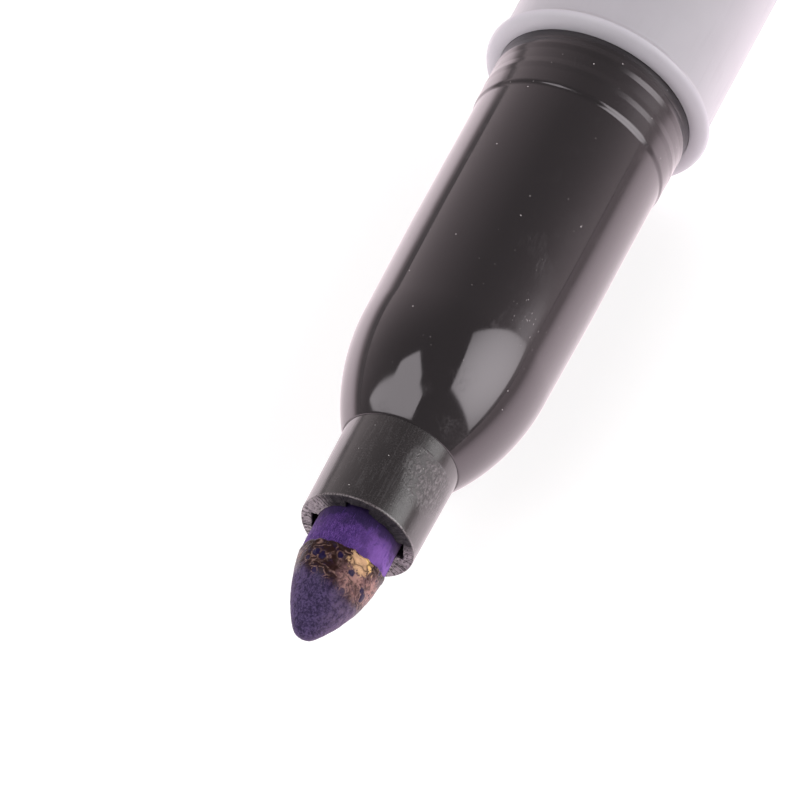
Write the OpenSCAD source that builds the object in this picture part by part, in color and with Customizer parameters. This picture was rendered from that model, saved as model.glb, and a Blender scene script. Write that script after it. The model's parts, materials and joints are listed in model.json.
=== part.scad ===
// Fibre-tip skin marker, lying on its side with its cap posted on the tail.
// The pieces are drawn nib up on the Z axis, with Z = 0 at the barrel's mouth, behind its lip's round front,
// and lay_down() then turns the whole marker onto its side. All sizes are in millimetres.

/* [Barrel] */
// Length of the barrel from its mouth to its tail
barrel_len = 88; // [70:1:110]
// Outer diameter of the barrel
barrel_d = 11.3; // [10.8:0.1:13]
// Wall of the barrel
barrel_wall = 0.95; // [0.75:0.05:1.2]
// Height of the lip above the barrel
lip_rise = 0.35; // [0.3:0.05:0.6]
// Thickness of the lip along the barrel, behind the mouth
lip_t = 0.8; // [0.6:0.05:1.2]
// How far the lip's round front stands out past the mouth
lip_front = 0.3; // [0.1:0.05:0.4]
// Wall of the lip around the seat of the front section
lip_wall = 0.5; // [0.4:0.01:0.55]
// Depth of the cap's seat below the barrel's surface
seat_step = 0.6; // [0.5:0.05:0.8]
// Wall of the narrow tail that the cap is posted on
post_wall = 0.85; // [0.7:0.05:1.05]
// How much slimmer the narrow tail is, in radius, at its end
tail_draft = 0.06; // [0.02:0.01:0.12]
// Number of inner ribs that hold the reservoir
barrel_ribs = 6; // [3:1:8]
// Width of a rib
barrel_rib_w = 0.9; // [0.6:0.1:1.4]

/* [Front section] */
// Length of the front section from the barrel's mouth to the collar
nose_len = 24; // [22:0.5:28]
// Length of the round seat that the cap slides on
seat_len = 8; // [5:0.5:10]
// Length of the raised land beside the lip
land_len = 3.7; // [3:0.1:4.5]
// Height of the land above the seat
land_step = 0.1; // [0.05:0.01:0.14]
// How much slimmer the land is, in radius, at its step
land_draft = 0.02; // [0.01:0.01:0.04]
// Height of the two retaining beads above the land
bead_h = 0.05; // [0.03:0.01:0.1]
// How much slimmer the section is, in radius, where its dome begins
section_draft = 0.08; // [0.02:0.01:0.2]
// Length of the dome
dome_len = 6.7; // [5.5:0.1:8]
// Depth of the section's flange below the front of the lip
flange_sink = 0.3; // [0.15:0.05:0.4]
// Length of the plug that goes into the barrel
plug_len = 8; // [5:0.5:12]
// Wall of the plug, around the reservoir
plug_wall = 0.72; // [0.5:0.02:0.9]
// Depth of the reservoir's well in the section, above the mouth
well_len = 9.5; // [7:0.5:13]

/* [Collar and nib] */
// Diameter of the nib
nib_d = 4.2; // [3.6:0.05:4.6]
// Length of the nib that shows
nib_out = 6.5; // [6:0.1:8]
// Length of the nib's tapered nose
nib_nose = 5.2; // [4.4:0.1:5.8]
// Radius of the nib's tip
nib_tip_r = 0.8; // [0.4:0.01:1.2]
// Depth of the nib in the reservoir
nib_dip = 5; // [3:0.5:8]
// Length of the collar that shows
collar_out = 5.2; // [4:0.1:7]
// Length of the collar's shank inside the section
collar_in = 6.8; // [5:0.1:8]
// Wall of the collar at its front
collar_wall = 0.87; // [0.75:0.01:1]
// How much the collar widens, in radius, towards the dome
collar_draft = 0.07; // [0.02:0.01:0.12]
// How far the dome's front edge stands out past the collar
dome_ledge = 0.04; // [0.02:0.01:0.1]
// Width of the collar's ledge that seats on the dome
shank_step = 0.29; // [0.2:0.01:0.35]
// Number of air grooves beside the nib
vent_count = 4; // [3:1:6]
// Width of an air groove
vent_w = 1.2; // [0.6:0.05:1.4]
// Depth of an air groove outside the nib
vent_depth = 0.32; // [0.2:0.01:0.4]

/* [Ink reservoir] */
// Thickness of the film around the fibre
film_t = 0.12; // [0.08:0.01:0.2]
// Thickness of fibre on either side of the breather tube
fibre_skin = 0.12; // [0.05:0.01:0.2]
// Wall of the breather tube
breather_wall = 0.25; // [0.15:0.05:0.3]

/* [Tail plug] */
// Thickness of the plug's disc
disc_t = 1; // [0.6:0.1:1.5]
// Length of the plug's skirt
skirt_len = 6; // [3:0.5:10]
// Wall of the skirt
skirt_wall = 0.8; // [0.6:0.05:1]

/* [Cap] */
// Thickness of the cap's crown
crown_t = 1.2; // [0.8:0.1:2]
// Radius of the crown's edge
crown_round = 1.2; // [0.6:0.1:2]
// Room between the crown and the seal's web
crown_room = 9.8; // [4:0.2:16]
// Number of inner ribs that grip the seat
grip_ribs = 6; // [3:1:10]
// Width of a grip rib
grip_rib_w = 0.8; // [0.5:0.1:1.2]
// Wall of the inner seal
liner_wall = 0.77; // [0.6:0.01:0.9]
// Thickness of the seal's web
web_t = 0.8; // [0.5:0.1:1.5]
// Room between the nib's tip and the web when the cap is on
tip_room = 1.5; // [0.5:0.1:3]
// Room between the posted tail and the seal
post_room = 2.4; // [0.5:0.1:6]

/* [Clip] */
// Width of the clip
clip_w = 4; // [3:0.1:5]
// Thickness of the clip
clip_t = 1.3; // [1:0.05:1.6]
// Gap between the clip and the cap
clip_gap = 1; // [0.8:0.05:1.4]
// Length of the clip from its root's axis to its free end
clip_len = 36; // [28:0.5:42]
// Distance from the crown to the root's axis
clip_set_in = 3.2; // [2.9:0.1:5]
// Thickness of the cap's pad under the clip's root
pad_floor = 0.35; // [0.25:0.05:0.5]
// Width of the pad's rim on each side of the root
pad_rim = 0.6; // [0.3:0.1:1]

/* [Fits] */
// Radial gap between pieces that are pressed together
press_gap = 0.03; // [0.01:0.01:0.05]
// Radial gap between the cap's ribs and its seat
slide_gap = 0.05; // [0.03:0.01:0.08]
// Radial gap between the cap's mouth and the beads
mouth_gap = 0.06; // [0.04:0.01:0.1]
// Radial gap between the reservoir and what holds it
reservoir_gap = 0.15; // [0.05:0.01:0.25]
// Radial gap between the nib and the section's guide
guide_gap = 0.2; // [0.1:0.05:0.3]
// Gap between the ends of pieces that nearly meet
end_gap = 0.1; // [0.05:0.05:0.2]
// Gap around the clip's root
hinge_gap = 0.05; // [0.03:0.01:0.1]
// Gap under the clip's bead
bead_gap = 0.15; // [0.1:0.05:0.3]

/* [Hidden] */
$fn = 64;

// Steps of an arc in an outline
edge_steps = 6;
dome_steps = 28;
// Edge breaks, fillets and the overlap of a rib with its wall
edge_break = 0.12;
lip_round = 0.28;
lip_nose_round = 0.42;
land_fillet = 0.2;
collar_break = 0.08;
rib_root = 0.3;
// Half the width of a retaining bead, and the beads' places along the land
bead_half = 0.3;
bead_places = [0.26, 0.64];

// Barrel and lip
barrel_r = barrel_d / 2;
bore_r = barrel_r - barrel_wall;
lip_r = barrel_r + lip_rise;
recess_r = lip_r - lip_wall;
seat_r = barrel_r - seat_step;
land_r = seat_r + land_step;
bead_r = land_r + bead_h;
post_bore_r = seat_r - post_wall;
tail_r = seat_r - tail_draft;

// Nib and collar
nib_r = nib_d / 2;
grip_r = nib_r + press_gap;
guide_r = nib_r + guide_gap;
collar_r = nib_r + collar_wall;
collar_base_r = collar_r + collar_draft;
shank_r = collar_base_r - shank_step;
socket_r = shank_r + press_gap;
z_socket = nose_len - collar_in;
z_collar = nose_len + collar_out;
z_tip = z_collar + nib_out;
ball_set = nib_nose - nib_tip_r;
ogive_rad = (ball_set * ball_set + nib_r * nib_r - nib_tip_r * nib_tip_r) / (2 * (nib_r - nib_tip_r));
ogive_end = atan2(ball_set, ogive_rad - nib_r);

// Front section
shoulder_r = seat_r - section_draft;
dome_tip_r = collar_base_r + dome_ledge;
z_dome = nose_len - dome_len;
dome_drop = shoulder_r - dome_tip_r;
dome_rad = (dome_len * dome_len + dome_drop * dome_drop) / (2 * dome_drop);
dome_end = asin(dome_len / dome_rad);
plug_r = bore_r - press_gap;
flange_r = recess_r - press_gap;
z_flange = lip_front - flange_sink;
well_r = plug_r - plug_wall;

// Depths in the cap, down from its mouth: the seal meets the dome, and its web clears the nib
grip_bore_r = seat_r + slide_gap;
mouth_r = bead_r + mouth_gap;
liner_r = grip_bore_r - press_gap;
liner_in_r = liner_r - liner_wall;
seal_drop = shoulder_r - liner_in_r;
liner_depth = z_dome + sqrt(dome_rad * dome_rad - (dome_rad - seal_drop) * (dome_rad - seal_drop));
web_depth = z_tip + tip_room;
cap_len = web_depth + web_t + crown_room + crown_t;
rib_depth = land_len + 2 * land_fillet + rib_root;

// Tail, as long as the room in the cap before the seal
post_depth = liner_depth - post_room;
post_len = post_depth - disc_t;
z_tail = -barrel_len;
z_shoulder = z_tail + post_len;
z_bore_end = z_shoulder + 2 * barrel_wall;
z_mouth = z_shoulder - end_gap;
z_crown = z_mouth - cap_len;

// Reservoir, between the well's end and the tail plug's skirt
film_r = well_r - reservoir_gap;
film_in_r = film_r - film_t;
fibre_r = film_in_r - press_gap;
pocket_r = nib_r + press_gap;
z_fibre_top = well_len - 2 * end_gap;
z_fibre_end = z_tail + skirt_len + 2 * end_gap;
z_nib_end = z_fibre_top - nib_dip;
channel_r = (fibre_r - pocket_r) / 2 - fibre_skin;
channel_set = (fibre_r + pocket_r) / 2;
breather_r = channel_r - press_gap;

// Clip, drawn on the +X side of the cap
clip_in = lip_r + clip_gap;
clip_out = clip_in + clip_t;
root_r = (clip_gap + clip_t - pad_floor - hinge_gap) / 2;
root_set = clip_out - root_r;
groove_r = root_r + hinge_gap;
bead_tip_r = clip_gap - bead_gap;
z_root = z_crown + clip_set_in;
pad_half = groove_r + pad_rim;
pad_top = clip_in - end_gap;
pad_base = sqrt(lip_r * lip_r - clip_w * clip_w / 4) - edge_break;

// The marker lies on its lip and cap, with a corner of the clip on the table
clip_drop = asin(lip_r / norm([clip_out, clip_w / 2])) - atan2(clip_w / 2, clip_out);
clip_turn = clip_drop - 90;
clip_reach = clip_out * cos(clip_drop) + clip_w / 2 * sin(clip_drop);
x_place = -(z_tip + z_crown) / 2;
y_place = (clip_reach - lip_r) / 2;

// Points of an arc about [r, z], from angle a0 to a1
function arc(r, z, rad, a0, a1, steps = edge_steps) =
    [for (i = [0 : steps]) let (a = a0 + (a1 - a0) * i / steps) [r + rad * cos(a), z + rad * sin(a)]];

// Radius of the section's land at a share of its length, from the flange to the step
function land_at(share) = land_r - land_draft * share;

// Points of a rounded bead that rises by h from a wall of radius r, from low z to high z
function bead(r, z, half, h) =
    [for (i = [0 : edge_steps]) let (a = -90 + 180 * i / edge_steps) [r + h * cos(a), z + half * sin(a)]];

module lathe(points) rotate_extrude() polygon(points);

// Bars along Z that stand in from a wall to the radius tip, evenly spaced
module inner_ribs(count, width, tip, wall, z0, z1)
    for (i = [0 : count - 1])
        rotate([0, 0, 360 * i / count])
            translate([tip, -width / 2, z0])
                cube([wall + rib_root - tip, width, z1 - z0]);

module lay_down() translate([x_place, y_place, lip_r]) rotate([0, 90, 0]) children();

// Grey barrel: a tube with a lip at its mouth and a narrow tail for the cap
module barrel() color("#bdb7c1") {
    lathe(concat(
        [[recess_r, lip_front]],
        arc(lip_r - lip_nose_round, lip_front - lip_nose_round, lip_nose_round, 90, 0),
        arc(lip_r - lip_round, lip_round - lip_t, lip_round, 0, -90),
        [[barrel_r, -lip_t], [barrel_r, z_shoulder + edge_break], [barrel_r - edge_break, z_shoulder],
         [land_r, z_shoulder], [land_r, z_shoulder - land_len], [seat_r, z_shoulder - land_len - land_step],
         [tail_r, z_tail + edge_break], [tail_r - edge_break, z_tail],
         [post_bore_r, z_tail], [post_bore_r, z_bore_end], [bore_r, z_bore_end + barrel_wall],
         [bore_r, -lip_t], [recess_r, -lip_t]]));
    inner_ribs(barrel_ribs, barrel_rib_w, well_r, bore_r, z_bore_end + 2 * barrel_wall, -plug_len - end_gap);
}

// Plug that closes the tail
module tail_plug() color("#bdb7c1")
    lathe(concat(
        [[0, z_tail - disc_t]],
        arc(tail_r - 3 * edge_break, z_tail - disc_t + edge_break, edge_break, -90, 0),
        [[tail_r - 2 * edge_break, z_tail], [post_bore_r - press_gap, z_tail],
         [post_bore_r - press_gap, z_tail + skirt_len - edge_break],
         [post_bore_r - press_gap - edge_break, z_tail + skirt_len],
         [post_bore_r - skirt_wall, z_tail + skirt_len], [post_bore_r - skirt_wall, z_tail], [0, z_tail]]));

// Black front section: plug, flange, land with two beads, cap seat and dome
module front_section() color("#1d1b1c")
    lathe(concat(
        [[well_r, -plug_len], [plug_r - edge_break, -plug_len], [plug_r, edge_break - plug_len],
         [plug_r, -lip_t], [flange_r, -lip_t]],
        arc(flange_r - edge_break, z_flange - edge_break, edge_break, 0, 90),
        arc(land_r + land_fillet, z_flange + land_fillet, land_fillet, 270, 180),
        [for (place = bead_places) each bead(land_at(place), place * land_len, bead_half, bead_h)],
        [[land_at(1), land_len - edge_break], [seat_r, land_len], [seat_r, land_len + seat_len]],
        arc(shoulder_r - dome_rad, z_dome, dome_rad, 0, dome_end, dome_steps),
        [[socket_r, nose_len], [socket_r, z_socket], [guide_r, z_socket], [guide_r, well_len],
         [well_r, well_len]]));

// Black collar that holds the nib, with air grooves down its bore
module nib_collar() color("#2b292a")
    difference() {
        lathe([[grip_r, z_socket + end_gap], [shank_r - edge_break, z_socket + end_gap],
               [shank_r, z_socket + end_gap + edge_break], [shank_r, nose_len],
               [collar_base_r, nose_len], [collar_r, z_collar - collar_break],
               [collar_r - collar_break, z_collar], [grip_r, z_collar]]);
        for (i = [0 : vent_count - 1])
            rotate([0, 0, 360 * i / vent_count])
                translate([0, -vent_w / 2, z_socket])
                    cube([nib_r + vent_depth, vent_w, collar_in + collar_out + end_gap]);
    }

// Violet fibre nib: a rod with an ogive nose and a ball tip
module nib() color("#4a2a86")
    lathe(concat(
        [[0, z_nib_end], [nib_tip_r, z_nib_end], [nib_r, z_nib_end + nib_r]],
        arc(nib_r - ogive_rad, z_tip - nib_nose, ogive_rad, 0, ogive_end, dome_steps),
        [for (i = [1 : edge_steps]) let (a = ogive_end + (90 - ogive_end) * i / edge_steps)
            [nib_tip_r * cos(a), z_tip - nib_tip_r + nib_tip_r * sin(a)]]));

// Ink-soaked fibre rod with a pocket for the nib and a channel for the breather tube
module ink_reservoir() color("#6b4aa6")
    difference() {
        translate([0, 0, z_fibre_end]) cylinder(r = fibre_r, h = z_fibre_top - z_fibre_end);
        translate([0, 0, z_nib_end - end_gap]) cylinder(r = pocket_r, h = nib_dip + 2 * end_gap);
        translate([channel_set, 0, z_fibre_end - end_gap])
            cylinder(r = channel_r, h = z_fibre_top - z_fibre_end + 2 * end_gap);
    }

// Film around the fibre
module reservoir_film() color("#e8e8ee")
    lathe([[film_in_r, z_fibre_end], [film_r, z_fibre_end], [film_r, z_fibre_top], [film_in_r, z_fibre_top]]);

// Thin tube that lets air reach the tail end of the fibre
module breather_tube() color("#f2f2f2")
    translate([channel_set, 0, 0])
        lathe([[breather_r - breather_wall, z_fibre_end - end_gap], [breather_r, z_fibre_end - end_gap],
               [breather_r, z_fibre_top + end_gap], [breather_r - breather_wall, z_fibre_top + end_gap]]);

// Black cap with grip ribs inside and a grooved pad for the clip's root
module cap_shell() color("#1d1b1c") {
    inner_ribs(grip_ribs, grip_rib_w, grip_bore_r, mouth_r, z_mouth - post_depth, z_mouth - rib_depth);
    difference() {
        union() {
            lathe(concat(
                [[mouth_r, z_mouth], [lip_r - edge_break, z_mouth], [lip_r, z_mouth - edge_break]],
                arc(lip_r - crown_round, z_crown + crown_round, crown_round, 0, -90),
                [[0, z_crown], [0, z_crown + crown_t], [grip_bore_r, z_crown + crown_t],
                 [grip_bore_r, z_mouth - post_depth], [mouth_r, z_mouth - post_depth]]));
            rotate([0, 0, clip_turn])
                translate([pad_base, -clip_w / 2, z_root - pad_half])
                    cube([pad_top - pad_base, clip_w, 2 * pad_half]);
        }
        rotate([0, 0, clip_turn])
            translate([root_set, 0, z_root])
                rotate([90, 0, 0])
                    cylinder(r = groove_r, h = clip_w + 2 * rib_root, center = true);
    }
}

// Pale seal inside the cap: a tube that meets the dome, closed by a web
module cap_liner() color("#e4e2dc")
    lathe([[liner_in_r, z_mouth - liner_depth], [liner_r - edge_break, z_mouth - liner_depth],
           [liner_r, z_mouth - liner_depth - edge_break], [liner_r, z_crown + crown_t + end_gap],
           [liner_in_r, z_crown + crown_t + end_gap], [liner_in_r, z_mouth - web_depth - web_t],
           [0, z_mouth - web_depth - web_t], [0, z_mouth - web_depth], [liner_in_r, z_mouth - web_depth]]);

// Black clip: a rounded root, a flat arm and a bead that bears on the cap
module pocket_clip() color("#1d1b1c")
    rotate([0, 0, clip_turn])
        translate([0, clip_w / 2, 0])
            rotate([90, 0, 0])
                linear_extrude(clip_w)
                    union() {
                        translate([root_set, z_root]) circle(r = root_r);
                        translate([clip_in, z_root]) square([clip_t, clip_len - clip_t / 2]);
                        translate([clip_in + clip_t / 2, z_root + clip_len - clip_t / 2]) circle(d = clip_t);
                        translate([clip_in, z_root + clip_len - 2 * bead_tip_r]) circle(r = bead_tip_r);
                    }

lay_down() barrel();
lay_down() tail_plug();
lay_down() front_section();
lay_down() nib_collar();
lay_down() nib();
lay_down() ink_reservoir();
lay_down() reservoir_film();
lay_down() breather_tube();
lay_down() cap_shell();
lay_down() cap_liner();
lay_down() pocket_clip();
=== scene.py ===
"""Fibre-tip skin marker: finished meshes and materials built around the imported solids.

Sizes are in millimetres. Distances along the marker start at the barrel's mouth, just behind the round
front of its lip, and grow towards the nib. Angles round the axis start at the top and grow towards +Y.
"""

import json
import logging
import math
from abc import ABC, abstractmethod
from collections.abc import Mapping, Sequence
from dataclasses import dataclass
from enum import Enum
from functools import cache
from typing import Any

import bmesh
import bpy
import numpy as np
from mathutils import Matrix, Vector, noise


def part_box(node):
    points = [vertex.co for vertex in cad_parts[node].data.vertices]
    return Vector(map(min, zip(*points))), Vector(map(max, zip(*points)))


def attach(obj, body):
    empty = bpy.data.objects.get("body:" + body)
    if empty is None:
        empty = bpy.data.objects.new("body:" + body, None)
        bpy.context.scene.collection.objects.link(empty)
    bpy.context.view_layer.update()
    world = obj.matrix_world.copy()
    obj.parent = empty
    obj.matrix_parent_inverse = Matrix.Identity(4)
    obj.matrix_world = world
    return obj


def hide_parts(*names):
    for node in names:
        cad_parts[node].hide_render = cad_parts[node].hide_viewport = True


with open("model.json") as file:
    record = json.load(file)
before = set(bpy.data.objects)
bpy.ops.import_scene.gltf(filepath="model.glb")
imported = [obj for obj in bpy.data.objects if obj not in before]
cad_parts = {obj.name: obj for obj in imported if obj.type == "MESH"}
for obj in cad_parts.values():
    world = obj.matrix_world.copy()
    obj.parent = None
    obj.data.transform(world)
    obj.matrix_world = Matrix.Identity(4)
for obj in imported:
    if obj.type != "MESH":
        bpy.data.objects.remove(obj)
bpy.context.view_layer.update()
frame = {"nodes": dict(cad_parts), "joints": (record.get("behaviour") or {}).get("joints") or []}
log = logging.getLogger("skin_marker")

MM = 0.001
LIP_FRONT = 0.3
EDGE = 0.12
NEAR_ZERO = 1e-6
Span = tuple[float, float]
Triple = tuple[float, float, float]
Colour = Triple
Outline = list[Span]
WHITE: Colour = (1.0, 1.0, 1.0)


class Body(Enum):
    """Bodies that the pieces ride on."""

    MARKER = "marker"
    CAP = "cap"
    CLIP = "clip"


class Slot(Enum):
    """Material slots that the record names."""

    BARREL = "barrel_grey"
    SECTION = "section_black"
    COLLAR = "collar_black"
    NIB = "nib_violet"
    CAP = "cap_black"
    SEAL = "seal_natural"


class Mask(Enum):
    """Point attributes that say where a surface changes."""

    FRONT = "front"
    EDGE = "edge"
    FELT = "felt"
    CRUST = "crust"
    PIT = "pit"
    RIM = "rim"
    GILT = "gilt"
    BLUSH = "blush"
    TIP = "tip"


@dataclass(frozen=True)
class PenAxis:
    """The marker's long axis, from the barrel's mouth towards the nib."""

    mouth: Vector

    @classmethod
    def from_frame(cls) -> "PenAxis":
        """Reads the axis from the barrel's box in the frame."""
        low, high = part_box("barrel")
        return cls(Vector((high.x - LIP_FRONT * MM, (low.y + high.y) / 2, (low.z + high.z) / 2)))

    def reach(self, node: str) -> Span:
        """Gives where a node of the frame starts and ends along the axis."""
        low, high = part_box(node)
        return (low.x - self.mouth.x) / MM, (high.x - self.mouth.x) / MM

    def at(self, along: float) -> Vector:
        """Gives the place on the axis at a distance from the mouth, in metres."""
        return self.mouth + Vector((along * MM, 0.0, 0.0))

    @staticmethod
    def offsets(along: "float | np.ndarray", radius: "float | np.ndarray", angle: np.ndarray) -> np.ndarray:
        """Gives points round the axis in millimetres from the mouth's middle, as points() takes them."""
        return np.stack(np.broadcast_arrays(along, radius * np.sin(angle), radius * np.cos(angle)), axis=-1)

    def points(self, along: "float | np.ndarray", radius: "float | np.ndarray",
               angle: np.ndarray) -> np.ndarray:
        """Places points round the axis.

        Args:
            along: Distances from the mouth.
            radius: Distances from the axis.
            angle: Angles round the axis, in radians.

        Returns:
            One row of x, y and z in metres for each point.
        """
        return np.array(self.mouth) + MM * self.offsets(along, radius, angle)


AXIS = PenAxis.from_frame()


class Signal:
    """A node's output that Python expressions can use: each operator adds one Math node."""

    def __init__(self, graph: "Graph", socket: bpy.types.NodeSocket) -> None:
        """Wraps an output socket of a node in the graph."""
        self.graph = graph
        self.socket = socket

    def __add__(self, other: "Signal | float") -> "Signal":
        """Adds two values."""
        return self.graph.math("ADD", self, other)

    def __radd__(self, other: float) -> "Signal":
        """Adds this value to a number."""
        return self.graph.math("ADD", other, self)

    def __sub__(self, other: "Signal | float") -> "Signal":
        """Takes a value from this one."""
        return self.graph.math("SUBTRACT", self, other)

    def __rsub__(self, other: float) -> "Signal":
        """Takes this value from a number."""
        return self.graph.math("SUBTRACT", other, self)

    def __mul__(self, other: "Signal | float") -> "Signal":
        """Multiplies two values."""
        return self.graph.math("MULTIPLY", self, other)

    def __rmul__(self, other: float) -> "Signal":
        """Multiplies a number by this value."""
        return self.graph.math("MULTIPLY", other, self)

    def __truediv__(self, other: "Signal | float") -> "Signal":
        """Divides this value by another."""
        return self.graph.math("DIVIDE", self, other)

    def __rtruediv__(self, other: float) -> "Signal":
        """Divides a number by this value."""
        return self.graph.math("DIVIDE", other, self)

    def other(self, output: str) -> "Signal":
        """Gives another output of the same node."""
        return Signal(self.graph, self.socket.node.outputs[output])

    def ramp(self, low: float, high: float) -> "Signal":
        """Gives 0 below low and 1 above high, with a smooth rise between; high may be the lower number."""
        inputs = {"Value": self, "From Min": low, "From Max": high}
        return self.graph.add("ShaderNodeMapRange", {"interpolation_type": "SMOOTHSTEP"}, inputs)

    def crest(self, middle: float, half: float) -> "Signal":
        """Gives 1 at the middle, falling smoothly to 0 at half to either side."""
        return self.graph.math("ABSOLUTE", self - middle).ramp(half, 0.0)

    def clamp(self) -> "Signal":
        """Keeps the value between 0 and 1."""
        return self.graph.math("ADD", self, 0.0, clamp=True)


class Graph:
    """Adds nodes to a shader or geometry tree."""

    def __init__(self, tree: bpy.types.NodeTree) -> None:
        """Wraps a node tree."""
        self.tree = tree

    @classmethod
    def start(cls, owner: "bpy.types.Material | bpy.types.Light | bpy.types.World") -> "Graph":
        """Starts an empty shader tree.

        Args:
            owner: The material, lamp or world that the tree belongs to.

        Returns:
            The tree's graph.
        """
        owner.use_nodes = True
        owner.node_tree.nodes.clear()
        return cls(owner.node_tree)

    @staticmethod
    def _socket(sockets: Any, key: str) -> bpy.types.NodeSocket:
        """Finds a socket by its identifier, or else by its name."""
        named = (socket for socket in sockets if socket.identifier == key)
        return next(named, None) or sockets[key]

    def add(self, kind: str, settings: Mapping[str, Any] | None = None,
            inputs: Mapping[str, Any] | None = None, output: str | None = None) -> Signal:
        """Adds any node.

        Args:
            kind: The node's type.
            settings: The node's own properties, which are set first.
            inputs: Values or signals, by socket.
            output: The socket to give back, or the first one.

        Returns:
            The node's output as a signal.
        """
        node = self.tree.nodes.new(kind)
        for key, value in (settings or {}).items():
            setattr(node, key, value)
        for key, value in (inputs or {}).items():
            socket = self._socket(node.inputs, key)
            if isinstance(value, Signal):
                self.tree.links.new(value.socket, socket)
            elif socket.type == "RGBA":
                socket.default_value = (*value, 1.0)
            else:
                socket.default_value = value
        return Signal(self, self._socket(node.outputs, output) if output else node.outputs[0])

    def math(self, operation: str, *values: "Signal | float", clamp: bool = False) -> Signal:
        """Adds a Math node for one operation on one or two values."""
        inputs = dict(zip(("Value", "Value_001"), values))
        return self.add("ShaderNodeMath", {"operation": operation, "use_clamp": clamp}, inputs)

    def vector(self, operation: str, first: Signal, second: Triple = (0.0, 0.0, 0.0),
               output: str = "Vector") -> Signal:
        """Adds a Vector Math node for one operation on a vector and a fixed one."""
        inputs = {"Vector": first, "Vector_001": second}
        return self.add("ShaderNodeVectorMath", {"operation": operation}, inputs, output)

    def mix(self, share: "Signal | float", first: "Signal | Colour", second: "Signal | Colour") -> Signal:
        """Mixes two colours, the second by the share given."""
        inputs = {"Factor_Float": share, "A_Color": first, "B_Color": second}
        return self.add("ShaderNodeMix", {"data_type": "RGBA"}, inputs, "Result_Color")

    def stretch(self, point: Signal, factors: Triple) -> Signal:
        """Multiplies a vector's parts by three factors."""
        return self.vector("MULTIPLY", point, factors)

    def split(self, point: Signal) -> tuple[Signal, Signal, Signal]:
        """Gives a vector's three parts."""
        first = self.add("ShaderNodeSeparateXYZ", {}, {"Vector": point}, "X")
        return first, first.other("Y"), first.other("Z")

    def distance(self, point: Signal, place: Triple) -> Signal:
        """Measures from a point to a fixed place."""
        return self.vector("DISTANCE", point, place, "Value")

    def grain(self, point: Signal, scale: float, detail: float = 2.0, rough: float = 0.5) -> Signal:
        """Adds smooth noise of a scale in features per millimetre."""
        inputs = {"Vector": point, "Scale": scale, "Detail": detail, "Roughness": rough}
        return self.add("ShaderNodeTexNoise", {}, inputs)

    def specks(self, point: Signal, scale: float, radius: float, share: float) -> Signal:
        """Scatters round specks.

        Args:
            point: Place in millimetres.
            scale: Cells per millimetre, with one possible speck in each.
            radius: Radius of a speck, in millimetres.
            share: Share of the cells that have a speck.

        Returns:
            1 on the specks and 0 off them.
        """
        near = self.add("ShaderNodeTexVoronoi", {}, {"Vector": point, "Scale": scale}, "Distance")
        lot = self.split(near.other("Color"))[0]
        reach = radius * scale
        return near.ramp(reach, reach / 2) * lot.ramp(share + 0.02, share)

    def bump(self, height: Signal, depth: float, strength: float) -> Signal:
        """Turns a height into a normal, with the depth of a full step in millimetres."""
        inputs = {"Height": height, "Distance": depth * MM, "Strength": strength}
        return self.add("ShaderNodeBump", {}, inputs)

    def mask(self, mask: Mask) -> Signal:
        """Reads a point attribute of the piece."""
        return self.add("ShaderNodeAttribute", {"attribute_name": mask.value}, {}, "Fac")

    def layer(self, sockets: Mapping[str, Any]) -> Signal:
        """Makes the shader of one layer from values and signals by socket."""
        return self.add("ShaderNodeBsdfPrincipled", {}, sockets)

    def cover(self, share: Signal, under: Signal, over: Signal) -> Signal:
        """Lays one shader over another, by the share given."""
        return self.add("ShaderNodeMixShader", {}, {"Fac": share, "Shader": under, "Shader_001": over})

    def close(self, kind: str, shader: Signal) -> None:
        """Ends the tree with its output node."""
        self.tree.links.new(shader.socket, self.tree.nodes.new(kind).inputs["Surface"])

    def pen_point(self) -> Signal:
        """Gives the place on the piece in millimetres from the mouth's middle."""
        place = self.add("ShaderNodeTexCoord", {}, {}, "Object")
        return self.stretch(self.vector("SUBTRACT", place, tuple(AXIS.mouth)), (1 / MM, 1 / MM, 1 / MM))


class Finish(ABC):
    """A surface finish: one material, made when a piece first asks for it."""

    name: str

    @cache
    def material(self) -> bpy.types.Material:
        """Makes the material.

        Returns:
            The finish's only material.
        """
        material = bpy.data.materials.new(self.name)
        graph = Graph.start(material)
        graph.close("ShaderNodeOutputMaterial", self.shader(graph, graph.pen_point()))
        return material

    def dress(self, obj: bpy.types.Object) -> bpy.types.Object:
        """Gives a mesh this finish all over.

        Args:
            obj: The mesh's object.

        Returns:
            The same object.
        """
        obj.data.materials.clear()
        obj.data.materials.append(self.material())
        return obj

    @abstractmethod
    def shader(self, graph: Graph, point: Signal) -> Signal:
        """Makes the shader.

        Args:
            graph: The material's graph.
            point: Place on the piece, in millimetres from the mouth's middle.

        Returns:
            The shader for the material's output.
        """


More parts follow.
